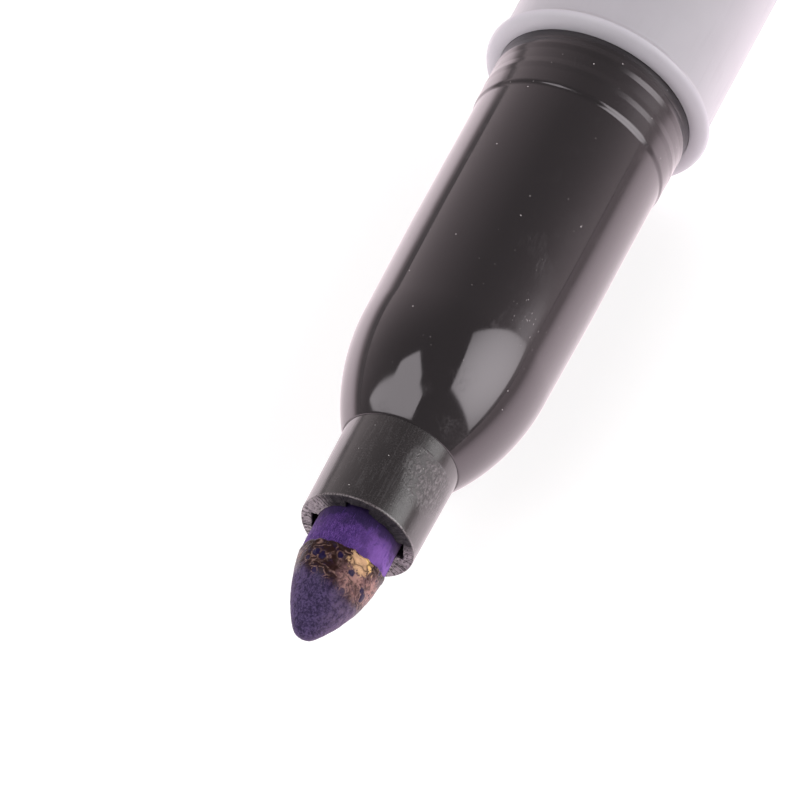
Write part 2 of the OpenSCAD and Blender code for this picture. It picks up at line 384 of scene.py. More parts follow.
@dataclass(frozen=True)
class SatinGrey(Finish):
    """Light grey moulded plastic with a violet cast, faintly mottled and scuffed."""

    name: str = "satin_grey_plastic"
    pale: Colour = (0.468, 0.455, 0.491)
    deep: Colour = (0.452, 0.438, 0.474)
    rubbed: Colour = (0.385, 0.368, 0.405)
    crest_highlight: Colour = (0.560, 0.540, 0.590)
    lip_crest: Span = (-0.42, 0.34)

    def shader(self, graph: Graph, point: Signal) -> Signal:
        """Mottles the grey, paints a highlight on the lip's crest and roughens it along fine scuffs.

        Args:
            graph: The material's graph.
            point: Place on the piece.

        Returns:
            The shader.
        """
        mottle = graph.grain(point, 0.4, 4.0)
        fine = graph.grain(point, 11.0, 3.0, 0.6)
        scuff = graph.grain(graph.stretch(point, (0.25, 4.0, 4.0)), 1.0, 4.0).ramp(0.56, 0.74)
        colour = graph.mix(mottle.ramp(0.3, 0.7), self.deep, self.pale)
        colour = graph.mix(scuff * 0.12 + fine.ramp(0.58, 0.8) * 0.1, colour, self.rubbed)
        # painted highlight: a paler band all round the lip's crest stands in for the light that the crest
        # catches
        colour = graph.mix(graph.split(point)[0].crest(*self.lip_crest), colour, self.crest_highlight)
        return graph.layer({
            "Base Color": colour,
            "Roughness": 0.38 + 0.06 * mottle + 0.12 * scuff,
            "Normal": graph.bump(fine + 0.6 * scuff, 0.006, 0.6)})


@dataclass(frozen=True)
class GlossBlack(Finish):
    """Gloss black moulded plastic with faint smears, hairlines and dust."""

    name: str = "gloss_black_section"
    black: Colour = (0.0158, 0.0149, 0.0156)
    dust: Colour = (0.60, 0.56, 0.56)
    glint: Colour = (1.0, 0.925, 0.975)
    worn_at: Triple = (16.6, 3.5, 3.6)
    worn_reach: float = 2.1
    dulled: Span = (7.0, 1.5)

    def shader(self, graph: Graph, point: Signal) -> Signal:
        """Smears the gloss, and puts dust and a worn patch on it.

        Args:
            graph: The material's graph.
            point: Place on the piece.

        Returns:
            The shader.
        """
        smear = graph.grain(point, 0.35, 3.0).ramp(0.35, 0.7)
        lines = graph.grain(graph.stretch(point, (0.5, 9.0, 7.0)), 1.0, 3.0, 0.65)
        hairline = lines.crest(0.5, 0.012) * graph.grain(point, 0.5).ramp(0.5, 0.65)
        dusty = graph.grain(point, 0.22, 1.0).ramp(0.4, 0.62)
        dots = graph.specks(point, 1.3, 0.045, 0.2) + graph.specks(point, 3.1, 0.022, 0.2) * dusty
        worn = graph.distance(point, self.worn_at).ramp(self.worn_reach, 0.3)
        scratched = graph.specks(graph.stretch(point, (0.3, 1.0, 1.0)), 9.0, 0.026, 0.6) * worn
        scratched = scratched * graph.grain(point, 3.0).ramp(0.44, 0.58)
        marks = (dots + scratched * 0.4).clamp()
        dull = graph.split(point)[0].ramp(*self.dulled)
        rough = 0.06 + 0.04 * smear + 0.1 * hairline + 0.12 * worn * lines + 0.6 * marks + 0.1 * dull
        return graph.layer({
            "Base Color": graph.mix(marks, self.black, self.dust),
            "Roughness": rough,
            "Specular IOR Level": 0.88,
            "Specular Tint": self.glint,
            "Normal": graph.bump(marks * 0.5 - hairline * 0.15, 0.01, 0.5)})


@dataclass(frozen=True)
class ScuffedBlack(Finish):
    """Satin black plastic, rubbed along its length, with a rough grey cut front whose upper side is darkened
    by an ink stain and painted shade.
    """

    name: str = "scuffed_black_plastic"
    black: Colour = (0.0200, 0.0182, 0.0188)
    rubbed: Colour = (0.088, 0.083, 0.087)
    speck: Colour = (0.60, 0.57, 0.57)
    chafed: Colour = (0.29, 0.25, 0.265)
    cut: Colour = (0.39, 0.340, 0.362)
    groove: Colour = (0.016, 0.013, 0.015)
    stain_and_shade: Colour = (0.014, 0.013, 0.016)
    smooth_band: Span = (24.80, 24.90)
    worn_at: Triple = (25.9, 2.5, 1.7)
    worn_reach: float = 2.1
    stain_and_shade_side: Triple = (0.0, 0.35, 0.94)
    relief_depth: float = 0.016

    def shader(self, graph: Graph, point: Signal) -> Signal:
        """Joins the rubbed skin and the rough cut front."""
        return graph.cover(graph.mask(Mask.FRONT), self.skin(graph, point), self.face(graph, point))

    def skin(self, graph: Graph, point: Signal) -> Signal:
        """Rubs the skin along its length, most of all on its worn side and its front edge.

        Args:
            graph: The material's graph.
            point: Place on the piece.

        Returns:
            The skin's shader.
        """
        patch = graph.grain(point, 0.9, 3.0).ramp(0.38, 0.64)
        rough = graph.split(point)[0].ramp(*self.smooth_band)
        worn = graph.distance(point, self.worn_at).ramp(self.worn_reach, 0.6) * rough
        streaks = graph.grain(graph.stretch(point, (0.7, 8.0, 8.0)), 1.0, 3.0, 0.6)
        pores = graph.grain(point, 12.0, 3.0, 0.65)
        grit = graph.grain(graph.stretch(point, (4.0, 7.0, 7.0)), 1.0, 3.0, 0.7).ramp(0.44, 0.66)
        scrape = worn * grit
        rub = pores.ramp(0.46, 0.78) * (0.15 + 0.4 * patch) + streaks.ramp(0.5, 0.75) * 0.3 + scrape
        colour = graph.mix(rub.clamp(), self.black, self.rubbed)
        colour = graph.mix(scrape * pores.ramp(0.4, 0.55) * 0.5, colour, self.chafed)
        colour = graph.mix(graph.specks(point, 2.6, 0.035, 0.25), colour, self.speck)
        colour = graph.mix(graph.mask(Mask.EDGE) * pores.ramp(0.32, 0.62) * 0.7, colour, self.chafed)
        relief = 0.3 * pores * (0.4 + 0.6 * patch) + 0.3 * streaks + 2.4 * scrape
        return graph.layer({
            "Base Color": colour,
            "Roughness": 0.13 + 0.08 * streaks + 0.2 * worn,
            "Specular IOR Level": 0.8,
            "Normal": graph.bump(relief, self.relief_depth, 0.8)})

    def face(self, graph: Graph, point: Signal) -> Signal:
        """Tears the cut front into spokes and crumbs, and darkens its upper side with an ink stain and
        painted shade.

        Args:
            graph: The material's graph.
            point: Place on the piece.

        Returns:
            The front's shader.
        """
        side = graph.vector("NORMALIZE", graph.stretch(point, (0.0, 1.0, 1.0)))
        upper = graph.vector("DOT_PRODUCT", side, self.stain_and_shade_side, "Value")
        spokes = graph.grain(graph.stretch(side, (1.0, 26.0, 26.0)), 1.0, 3.0, 0.7)
        crumbs = graph.grain(point, 7.0, 4.0, 0.65)
        dark = (spokes.ramp(0.50, 0.38) * 0.9 + crumbs.ramp(0.47, 0.37) * 0.8).clamp()
        # ink stain and painted shade: the cut front darkens towards its upper side
        stained_and_shaded = (upper + 0.5 * crumbs - 0.25).ramp(0.30, 0.62)
        return graph.layer({
            "Base Color": graph.mix(stained_and_shaded * 0.95, graph.mix(dark, self.cut, self.groove), self.stain_and_shade),
            "Roughness": 0.55,
            "Specular IOR Level": 0.25,
            "Normal": graph.bump(dark * -2.0, self.relief_depth, 0.8)})


@dataclass(frozen=True)
class NibGrain:
    """Patterns that the layers of the nib's finish share."""

    along: Signal
    lit_side: Signal
    cloud: Signal
    blotch: Signal
    mottle: Signal
    fibre: Signal
    fleck: Signal
    flow: Signal
    crusted: Signal
    blush: Signal

    def uneven(self, blotch: float, mottle: float) -> Signal:
        """Gives a value that swings about 0 with the blotches and the mottle, each by its weight."""
        return (self.blotch - 0.5) * blotch + (self.mottle - 0.5) * mottle


@dataclass(frozen=True)
class VioletFelt(Finish):
    """Bonded fibre soaked with violet ink, under a band of dried ink with a bronze lustre."""

    name: str = "violet_felt"
    deep: Colour = (0.028, 0.010, 0.084)
    violet: Colour = (0.055, 0.020, 0.152)
    lilac: Colour = (0.215, 0.098, 0.400)
    shade: Colour = (0.012, 0.006, 0.040)
    umber: Colour = (0.019, 0.0065, 0.0050)
    tan: Colour = (0.360, 0.215, 0.180)
    gold: Colour = (0.640, 0.415, 0.165)
    sand: Colour = (0.400, 0.245, 0.140)
    pink: Colour = (0.360, 0.190, 0.165)
    rust: Colour = (0.130, 0.066, 0.070)
    plum: Colour = (0.007, 0.0035, 0.036)
    slate: Colour = (0.078, 0.052, 0.136)
    dusk: Colour = (0.017, 0.011, 0.038)
    lit_nose: Colour = (0.170, 0.118, 0.170)
    fuzz: Colour = (0.80, 0.58, 0.78)
    shaded: Span = (30.2, 29.5)
    lit_side_span: Span = (0.1, 2.1)
    gold_edge: Span = (31.62, 31.42)
    thin_from: Span = (32.0, 32.7)
    relief_depth: float = 0.026

    def shader(self, graph: Graph, point: Signal) -> Signal:
        """Lays the dried ink over the felt and its dull nose.

        Args:
            graph: The material's graph.
            point: Place on the piece.

        Returns:
            The shader.
        """
        grain = self.grains(graph, point)
        nose = self.nose(graph, grain)
        crust = (grain.crusted + grain.uneven(0.6, 0.4)).ramp(0.15, 0.55)
        return graph.cover(crust, self.soft(graph, grain, nose), self.dried(graph, grain, nose))

    def grains(self, graph: Graph, point: Signal) -> NibGrain:
        """Makes the patterns that the layers share.

        Args:
            graph: The material's graph.
            point: Place on the piece.

        Returns:
            The patterns, from cloudy to fine.
        """
        along, aside, _ = graph.split(point)
        return NibGrain(
            along=along,
            lit_side=aside.ramp(*self.lit_side_span),
            cloud=graph.grain(point, 1.5, 3.0),
            blotch=graph.grain(point, 3.4, 4.0, 0.6),
            mottle=graph.grain(point, 9.0, 4.0, 0.65),
            fibre=graph.grain(graph.stretch(point, (4.0, 17.0, 17.0)), 1.0, 3.0, 0.6),
            fleck=graph.grain(point, 20.0, 3.0, 0.6),
            flow=graph.grain(graph.stretch(point, (1.8, 1.15, 1.15)), 1.0, 1.0, 0.4),
            crusted=graph.mask(Mask.CRUST),
            blush=graph.mask(Mask.BLUSH))

    def nose(self, graph: Graph, grain: NibGrain) -> Signal:
        """Colours the dull nose, paler on its lit +Y side by painted light and rusty beside the dried ink.

        Args:
            graph: The material's graph.
            grain: The shared patterns.

        Returns:
            The nose's colour.
        """
        colour = graph.mix((1.2 * grain.mottle + 0.6 * grain.blotch).ramp(0.70, 1.10), self.dusk, self.slate)
        # painted light: the nose is paler towards its lit +Y side
        colour = graph.mix(grain.lit_side * (0.3 + grain.blotch.ramp(0.35, 0.7)) * 0.55, colour, self.lit_nose)
        haze = (grain.blush * 0.8 + grain.crusted * 0.4 + grain.uneven(0.6, 1.2)).ramp(0.25, 0.8)
        return graph.mix(haze * 0.65, colour, self.rust)

    def soft(self, graph: Graph, grain: NibGrain, nose: Signal) -> Signal:
        """Makes the bare fibre, violet but darkened by painted shade and soaked ink near the collar, and dull
        on the nose.

        Args:
            graph: The material's graph.
            grain: The shared patterns.
            nose: The nose's colour.

        Returns:
            The fibre's shader.
        """
        felt = graph.mix(grain.fibre.ramp(0.34, 0.62), self.deep, self.violet)
        # painted light: the fibre is paler towards its lit +Y side
        felt = graph.mix(grain.lit_side * 0.85, felt, self.lilac)
        felt = graph.mix((grain.fleck + grain.fibre * 0.5).ramp(0.70, 0.92) * 0.6, felt, self.lilac)
        felt = graph.mix(grain.cloud.ramp(0.42, 0.66) * 0.5, felt, self.deep)
        # painted shade and soaked ink: the fibre darkens next to the collar, where the collar's shadow falls
        shaded = (grain.along + 2.4 * (grain.cloud - 0.5)).ramp(*self.shaded)
        felt = graph.mix(shaded * 0.85, felt, self.shade)
        return graph.layer({
            "Base Color": graph.mix(graph.mask(Mask.TIP), felt, nose),
            "Roughness": 0.85,
            "Specular IOR Level": 0.25,
            "Sheen Weight": 0.22,
            "Sheen Roughness": 0.4,
            "Sheen Tint": self.fuzz,
            "Normal": graph.bump(grain.fibre * 0.6 + grain.fleck * 0.5, self.relief_depth, 0.8)})

    def dried(self, graph: Graph, grain: NibGrain, nose: Signal) -> Signal:
        """Makes the dried ink: dark film with rusty, pink and gilt patches, bubbles, and pale flow lines and
        bubble rims that are partly painted highlights.

        Args:
            graph: The material's graph.
            grain: The shared patterns.
            nose: The nose's colour, which shows where the film is thin.

        Returns:
            The film's shader.
        """
        flow, blotch, mottle, blush = grain.flow, grain.blotch, grain.mottle, grain.blush
        broken = mottle.ramp(0.3, 0.6)
        lines = (flow.crest(0.43, 0.035) + flow.crest(0.55, 0.045)).clamp() * broken
        film = graph.mix(blotch.ramp(0.46, 0.70) * 0.6, self.umber, self.plum)
        film = graph.mix((blush + (blotch - 0.5) * 0.9).ramp(0.15, 0.55), film, self.rust)
        film = graph.mix((blush + grain.uneven(1.4, 1.6)).ramp(0.55, 1.05) * 0.85, film, self.pink)
        film = graph.mix(mottle.ramp(0.49, 0.40) * blotch.ramp(0.60, 0.40) * 0.7, film, self.umber)
        gilt = (graph.mask(Mask.GILT) + grain.uneven(1.2, 0.9)).ramp(0.50, 0.60)
        bright = (grain.along + (flow - 0.5) * 1.6).ramp(*self.gold_edge)
        film = graph.mix(gilt, film, graph.mix(bright, self.sand, self.gold))
        # pale tan flow lines, partly painted highlights on the film's wrinkles
        film = graph.mix(lines * (1.0 - gilt) * grain.cloud.ramp(0.42, 0.6) * 0.6, film, self.tan)
        film = graph.mix(flow.crest(0.49, 0.05) * (gilt + blush).clamp() * 0.8, film, self.umber)
        # tan bubble rims, partly painted highlights on the raised rims
        film = graph.mix(graph.mask(Mask.RIM) * broken * (0.2 + 0.5 * flow.ramp(0.38, 0.56)), film, self.tan)
        film = graph.mix(graph.mask(Mask.PIT) * (0.7 + 0.3 * broken), film, self.plum)
        thin = (grain.crusted + (mottle - 0.5) * 0.8).ramp(0.95, 0.45) * grain.along.ramp(*self.thin_from)
        return graph.layer({
            "Base Color": graph.mix(thin * 0.85, film, nose),
            "Roughness": 0.18 + 0.26 * mottle,
            "Metallic": gilt * 0.35,
            "Specular IOR Level": 0.13,
            "Normal": graph.bump(lines * 0.5 + mottle * 0.3, self.relief_depth, 0.8)})


@dataclass(frozen=True)
class InkSpeckle(Finish):
    """Small things that the ink has dyed, each a little darker or paler than the next."""

    name: str
    dark: Colour
    pale: Colour
    scale: float
    detail: float
    spread: Span
    gloss: float
    uneven: float
    fine_scale: float

    def shader(self, graph: Graph, point: Signal) -> Signal:
        """Varies the dye and the gloss from place to place.

        Args:
            graph: The material's graph.
            point: Place on the piece.

        Returns:
            The shader.
        """
        tone = graph.grain(point, self.scale, self.detail).ramp(*self.spread)
        rough = self.gloss + self.uneven * graph.grain(point, self.fine_scale)
        return graph.layer({"Base Color": graph.mix(tone, self.dark, self.pale), "Roughness": rough})


@dataclass(frozen=True)
class InkRod(Finish):
    """Drawn fibre rod soaked with violet ink, streaked along its length."""

    name: str = "ink_soaked_rod"
    deep: Colour = (0.07, 0.022, 0.21)
    pale: Colour = (0.22, 0.10, 0.45)

    def shader(self, graph: Graph, point: Signal) -> Signal:
        """Streaks the dye along the rod.

        Args:
            graph: The material's graph.
            point: Place on the piece.

        Returns:
            The shader.
        """
        streak = graph.grain(graph.stretch(point, (0.25, 9.0, 9.0)), 1.0, 4.0, 0.6)
        return graph.layer({
            "Base Color": graph.mix(streak.ramp(0.35, 0.7), self.deep, self.pale),
            "Roughness": 0.7 + 0.2 * streak,
            "Normal": graph.bump(streak, 0.02, 0.7)})


@dataclass(frozen=True)
class NaturalPlastic(Finish):
    """Uncoloured plastic, milky and slightly uneven."""

    name: str = "natural_plastic"
    milky: Colour = (0.74, 0.72, 0.66)
    dull: Colour = (0.66, 0.635, 0.575)
    gloss: float = 0.4
    clear: float = 0.0

    def shader(self, graph: Graph, point: Signal) -> Signal:
        """Clouds the plastic faintly.

        Args:
            graph: The material's graph.
            point: Place on the piece.

        Returns:
            The shader.
        """
        cloud = graph.grain(point, 0.6, 4.0)
        fine = graph.grain(point, 6.0, 2.0)
        return graph.layer({
            "Base Color": graph.mix(cloud.ramp(0.35, 0.65), self.milky, self.dull),
            "Roughness": self.gloss + 0.14 * fine,
            "Transmission Weight": self.clear,
            "Normal": graph.bump(fine, 0.005, 0.5)})


GREY = SatinGrey()
BLACK = GlossBlack()
CAP_BLACK = GlossBlack("gloss_black_cap", worn_at=(-90.0, 0.0, 6.0), dulled=(-200.0, -201.0))
COLLAR_BLACK = ScuffedBlack()
FELT = VioletFelt()
BEAD_INK = InkSpeckle(
    "dried_ink", dark=(0.020, 0.009, 0.018), pale=(0.20, 0.105, 0.060), scale=2.6, detail=3.0,
    spread=(0.45, 0.68), gloss=0.16, uneven=0.2, fine_scale=8.0)
STRAY_FIBRE = InkSpeckle(
    "stray_fibre", dark=(0.075, 0.026, 0.25), pale=(0.16, 0.07, 0.36), scale=5.0, detail=2.0,
    spread=(0.42, 0.64), gloss=0.6, uneven=0.25, fine_scale=12.0)
SEAL = NaturalPlastic()
BARE_NODES: dict[str, Finish] = {
    "ink_reservoir": InkRod(),
    "reservoir_film": NaturalPlastic("clear_film", (0.80, 0.80, 0.84), (0.74, 0.74, 0.80), 0.12, 0.85),
    "breather_tube": NaturalPlastic("tube_plastic", (0.85, 0.85, 0.82), (0.79, 0.79, 0.75), 0.35),
}


def arc(middle: Span, radius: float, start: float, end: float, steps: int) -> Outline:
    """Gives points of an arc.

    Args:
        middle: Centre, along and out from the axis.
        radius: Radius of the arc.
        start: First angle in degrees, from outward towards the nib.
        end: Last angle in degrees.
        steps: Number of chords.

    Returns:
        Points from the first angle to the last.
    """
    angles = np.radians(np.linspace(start, end, steps + 1))
    return [(middle[0] + radius * math.sin(a), middle[1] + radius * math.cos(a)) for a in angles]


def rounded(corners: Sequence[tuple[float, ...]], closed: bool = True, steps: int = 6) -> Outline:
    """Rounds the corners of an outline.

    Args:
        corners: Points along and out from the axis, with a radius as a third number where one is round.
        closed: Whether the last corner joins the first.
        steps: Number of chords in each round corner.

    Returns:
        The outline's points, with a point close beside each arc so that shading stays flat past it.
    """
    guard = 0.05
    most = 0.85
    count = len(corners)
    outline: Outline = []
    for index, corner in enumerate(corners):
        here = Vector(corner[:2])
        inner = closed or 0 < index < count - 1
        if len(corner) < 3 or not inner:
            outline.append(tuple(here))
            continue
        back = Vector(corners[index - 1][:2]) - here
        ahead = Vector(corners[(index + 1) % count][:2]) - here
        half = back.angle(ahead) / 2
        run = min(corner[2] / math.tan(half), most * back.length, most * ahead.length)
        radius = run * math.tan(half)
        middle = here + (back.normalized() + ahead.normalized()).normalized() * (radius / math.sin(half))
        first = here + back.normalized() * run - middle
        last = here + ahead.normalized() * run - middle
        if back.length > 3 * run + guard:
            outline.append(tuple(here + back.normalized() * (run + guard)))
        for step in range(steps + 1):
            outline.append(tuple(middle + first.slerp(last, step / steps).normalized() * radius))
        if ahead.length > 3 * run + guard:
            outline.append(tuple(here + ahead.normalized() * (run + guard)))
    return outline


def skin(rows: Sequence[np.ndarray], closed: bool) -> list[tuple[int, ...]]:
    """Makes the faces between rows of points.

    Args:
        rows: Vertex numbers, each row once round the axis or a single pole.
        closed: Whether the last row joins the first.

    Returns:
        Vertex numbers of each face, outward where the rows run towards the nib on the outside.
    """
    faces: list[tuple[int, ...]] = []
    following = list(rows[1:]) + ([rows[0]] if closed else [])
    for near, far in zip(rows, following):
        near_next, far_next = np.roll(near, -1), np.roll(far, -1)
        if len(near) == 1:
            faces += [(int(near[0]), int(a), int(b)) for a, b in zip(far, far_next)]
        elif len(far) == 1:
            faces += [(int(a), int(far[0]), int(b)) for a, b in zip(near, near_next)]
        else:
            quads = np.stack([near, far, far_next, near_next], axis=1)
            faces += [tuple(quad) for quad in quads.tolist()]
    return faces


def add_object(name: str, data: bpy.types.ID) -> bpy.types.Object:
    """Puts a mesh, a lamp or a camera into the scene.

    Args:
        name: Name of the object.
        data: The mesh, lamp or camera.

    Returns:
        The new object, at the origin.
    """
    obj = bpy.data.objects.new(name, data)
    bpy.context.scene.collection.objects.link(obj)
    return obj


def add_piece(name: str, mesh: bpy.types.Mesh, sharp: float = 40.0) -> bpy.types.Object:
    """Puts a mesh into the scene, smooth apart from its sharp edges.

    Args:
        name: Name of the piece.
        mesh: Its mesh.
        sharp: Angle in degrees past which an edge is sharp.

    Returns:
        The new object.
    """
    mesh.shade_smooth()
    mesh.set_sharp_from_angle(angle=math.radians(sharp))
    return add_object(name, mesh)


def make_object(name: str, points: np.ndarray, faces: Sequence[tuple[int, ...]],
                sharp: float = 40.0) -> bpy.types.Object:
    """Makes a piece from places in metres and the vertex numbers of each face.

    Args:
        name: Name of the piece.
        points: Places in metres.
        faces: Vertex numbers of each face.
        sharp: Angle in degrees past which an edge is sharp.

    Returns:
        The new object.
    """
    mesh = bpy.data.meshes.new(name)
    mesh.from_pydata(points.tolist(), [], faces)
    return add_piece(name, mesh, sharp)


def extent(span: Span) -> float:
    """Gives the distance from a span's start to its end."""
    return span[1] - span[0]


def circle(turns: int) -> np.ndarray:
    """Gives evenly spaced angles once round."""
    return np.linspace(0.0, 2 * math.pi, turns, endpoint=False)


def rings(outline: Outline, turns: int) -> tuple[np.ndarray, list[np.ndarray]]:
    """Places an outline's points in rows round the marker's axis.

    Args:
        outline: Points along and out from the axis.
        turns: Number of points in a circle; a point on the axis stays a single pole.

    Returns:
        Places in metres, and the vertex numbers of each row.
    """
    points, rows, count = [], [], 0
    for along, radius in outline:
        row = AXIS.points(along, radius, circle(1 if radius < NEAR_ZERO else turns))
        points.append(row)
        rows.append(np.arange(count, count + len(row)))
        count += len(row)
    return np.concatenate(points), rows


def lathe(name: str, outline: Outline, closed: bool = True, turns: int = 256) -> bpy.types.Object:
    """Turns an outline round the marker's axis.

    Args:
        name: Name of the piece.
        outline: Points along and out from the axis, towards the nib on the outside.
        closed: Whether the outline is a ring; otherwise it starts and ends on the axis.
        turns: Number of points in a circle.

    Returns:
        The new object.
    """
    points, rows = rings(outline, turns)
    return make_object(name, points, skin(rows, closed))


def set_mask(obj: bpy.types.Object, mask: Mask, values: np.ndarray) -> None:
    """Keeps a value for each point of a mesh, for its finish to read."""
    attribute = obj.data.attributes.new(mask.value, "FLOAT", "POINT")
    attribute.data.foreach_set("value", values.astype(np.float32))


def waves(points: np.ndarray, scale: float, octaves: int = 3) -> np.ndarray:
    """Gives smooth noise at points in millimetres, about -1 to 1."""
    return np.array([noise.fractal(Vector(p), 1.0, 2.0, octaves) for p in points * scale])


def rise(values: np.ndarray, low: "float | np.ndarray", high: "float | np.ndarray") -> np.ndarray:
    """Gives 0 at low and 1 at high, with a smooth rise between."""
    share = np.clip((values - low) / (high - low), 0.0, 1.0)
    return share * share * (3 - 2 * share)


def bell(values: np.ndarray, middle: "float | np.ndarray", width: float) -> np.ndarray:
    """Gives 1 at the middle, falling to either side in a bell curve."""
    return np.exp(-(((values - middle) / width) ** 2))


class NodeModel:
    """A Geometry Nodes tree with named inputs, run once on a mesh to leave a plain mesh."""

    def __init__(self, name: str, number: str, sizes: Sequence[str]) -> None:
        """Starts a tree.

        Args:
            name: Name of the tree.
            number: Name of its one input that is a whole number.
            sizes: Names of its other inputs.
        """
        self.tree = bpy.data.node_groups.new(name, "GeometryNodeTree")
        self.graph = Graph(self.tree)
        kinds = {number: "NodeSocketInt", **dict.fromkeys(sizes, "NodeSocketFloat")}
        face = self.tree.interface
        face.new_socket("Geometry", in_out="INPUT", socket_type="NodeSocketGeometry")
        self.keys = {label: face.new_socket(label, in_out="INPUT", socket_type=kind).identifier
                     for label, kind in kinds.items()}
        face.new_socket("Geometry", in_out="OUTPUT", socket_type="NodeSocketGeometry")
        self.entry = self.tree.nodes.new("NodeGroupInput")

    def given(self, label: str) -> Signal:
        """Gives one of the tree's inputs."""
        return Signal(self.graph, self.entry.outputs[label])

    def sweep(self, line: Signal, section: Signal) -> Signal:
        """Draws a section along a line into a closed mesh."""
        inputs = {"Curve": line, "Profile Curve": section, "Fill Caps": True}
        return self.graph.add("GeometryNodeCurveToMesh", {}, inputs)

    def spin(self, **angles: Signal) -> Signal:
        """Makes a rotation from angles about X, Y and Z."""
        turn = self.graph.add("ShaderNodeCombineXYZ", {}, angles)
        return self.graph.add("FunctionNodeEulerToRotation", {}, {"Euler": turn})

    def between(self, low: "Signal | float", high: "Signal | float", seed: int) -> Signal:
        """Draws a number between two others for each point."""
        inputs = {"Min_001": low, "Max_001": high, "Seed": seed}
        return self.graph.add("FunctionNodeRandomValue", {}, inputs, "Value_001")

    def scatter(self, mask: Mask) -> Signal:
        """Scatters points over the given mesh, by the inputs Density and Seed.

        Args:
            mask: Attribute that says how much of the density a place gets.

        Returns:
            The points.
        """
        share = self.graph.add("GeometryNodeInputNamedAttribute", {"data_type": "FLOAT"},
                               {"Name": mask.value})
        return self.graph.add("GeometryNodeDistributePointsOnFaces", {}, {
            "Mesh": self.given("Geometry"),
            "Density": share * self.given("Density"),
            "Seed": self.given("Seed")})

    def repeat(self, points: Signal, shape: Signal, **turned: Signal) -> Signal:
        """Puts a shape on each point, with its Rotation and, where it varies, its Scale."""
        inputs = {"Points": points, "Instance": shape, **turned}
        return self.graph.add("GeometryNodeInstanceOnPoints", {}, inputs)

    def close(self, geometry: Signal, finish: Finish) -> None:
        """Ends the tree: instances become mesh and take the finish.

        Args:
            geometry: What the tree made.
            finish: The finish that it takes.
        """
        real = self.graph.add("GeometryNodeRealizeInstances", {}, {"Geometry": geometry})
        inputs = {"Geometry": real, "Material": finish.material()}
        dressed = self.graph.add("GeometryNodeSetMaterial", {}, inputs)
        self.tree.links.new(dressed.socket, self.tree.nodes.new("NodeGroupOutput").inputs[0])

    def run(self, name: str, source: bpy.types.Mesh, values: Mapping[str, Any]) -> bpy.types.Object:
        """Runs the tree.

        Args:
            name: Name of the new piece.
            source: Mesh that the tree starts from.
            values: Value of each named input.

        Returns:
            A plain mesh object.
        """
        carrier = add_object(name + "_source", source)
        modifier = carrier.modifiers.new(name, "NODES")
        modifier.node_group = self.tree
        for label, value in values.items():
            modifier[self.keys[label]] = value
        evaluated = carrier.evaluated_get(bpy.context.evaluated_depsgraph_get())
        mesh = bpy.data.meshes.new_from_object(evaluated)
        mesh.name = name
        carrier.modifiers.remove(modifier)
        bpy.data.objects.remove(carrier)
        return add_piece(name, mesh)


class RibRing(NodeModel):
    """Straight ribs with rounded edges that stand in from a wall, evenly spaced round the axis."""

    def __init__(self, finish: Finish) -> None:
        """Builds the tree.

        Args:
            finish: The ribs' finish.
        """
        super().__init__("rib_ring", "Count", ("Start", "Length", "Width", "Depth", "Middle Radius", "Edge"))
        graph = self.graph
        section = graph.add("GeometryNodeCurvePrimitiveQuadrilateral", {},
                            {"Width": self.given("Width"), "Height": self.given("Depth")})
        section = graph.add("GeometryNodeFilletCurve", {"mode": "POLY"}, {
            "Curve": section, "Count": 3, "Radius": self.given("Edge"), "Limit Radius": True})
        ends = [graph.add("ShaderNodeCombineXYZ", {}, {"X": x, "Z": self.given("Middle Radius")})
                for x in (self.given("Start"), self.given("Start") + self.given("Length"))]
        line = graph.add("GeometryNodeCurvePrimitiveLine", {}, {"Start": ends[0], "End": ends[1]})
        places = graph.add("GeometryNodePoints", {}, {"Count": self.given("Count")})
        index = graph.add("GeometryNodeInputIndex")
        spin = self.spin(X=index * (2 * math.pi) / self.given("Count"))
        ring = self.repeat(places, self.sweep(line, section), Rotation=spin)
        ring = graph.add("GeometryNodeTransform", {}, {"Geometry": ring, "Translation": tuple(AXIS.mouth)})
        self.close(ring, finish)

    def make(self, name: str, count: int, span: Span, radii: Span, width: float,
             edge: float) -> bpy.types.Object:
        """Makes the ribs.

        Args:
            name: Name of the piece.
            count: Number of ribs.
            span: Where they start and end along the axis.
            radii: Distances of their tips and of their roots from the axis.
            width: Width of a rib.
            edge: Radius of a rib's edges.

        Returns:
            A plain mesh object.
        """
        tip, root = radii
        sizes = {"Start": span[0], "Length": extent(span), "Width": width, "Depth": root - tip,
                 "Middle Radius": (tip + root) / 2, "Edge": edge}
        values = {label: size * MM for label, size in sizes.items()}
        return self.run(name, bpy.data.meshes.new("start"), {"Count": count, **values})


class StrayFibres(NodeModel):
    """Short fibres that lie along the nib's bare felt."""

    def __init__(self, finish: Finish) -> None:
        """Builds the tree.

        Args:
            finish: The fibres' finish.
        """
        super().__init__("stray_fibres", "Seed", ("Density", "Length", "Radius", "Lean"))
        graph = self.graph
        reach = graph.add("ShaderNodeCombineXYZ", {}, {"X": self.given("Length")})
        line = graph.add("GeometryNodeCurvePrimitiveLine", {}, {"End": reach})
        section = graph.add("GeometryNodeCurvePrimitiveCircle", {},
                            {"Resolution": 5, "Radius": self.given("Radius")})
        lean = self.given("Lean")
        spin = self.spin(Y=self.between(-1.0 * lean, lean, 3), Z=self.between(-1.0 * lean, lean, 7))
        size = self.between(0.5, 1.2, 11)
        fibre = self.sweep(line, section)
        self.close(self.repeat(self.scatter(Mask.FELT), fibre, Rotation=spin, Scale=size), finish)


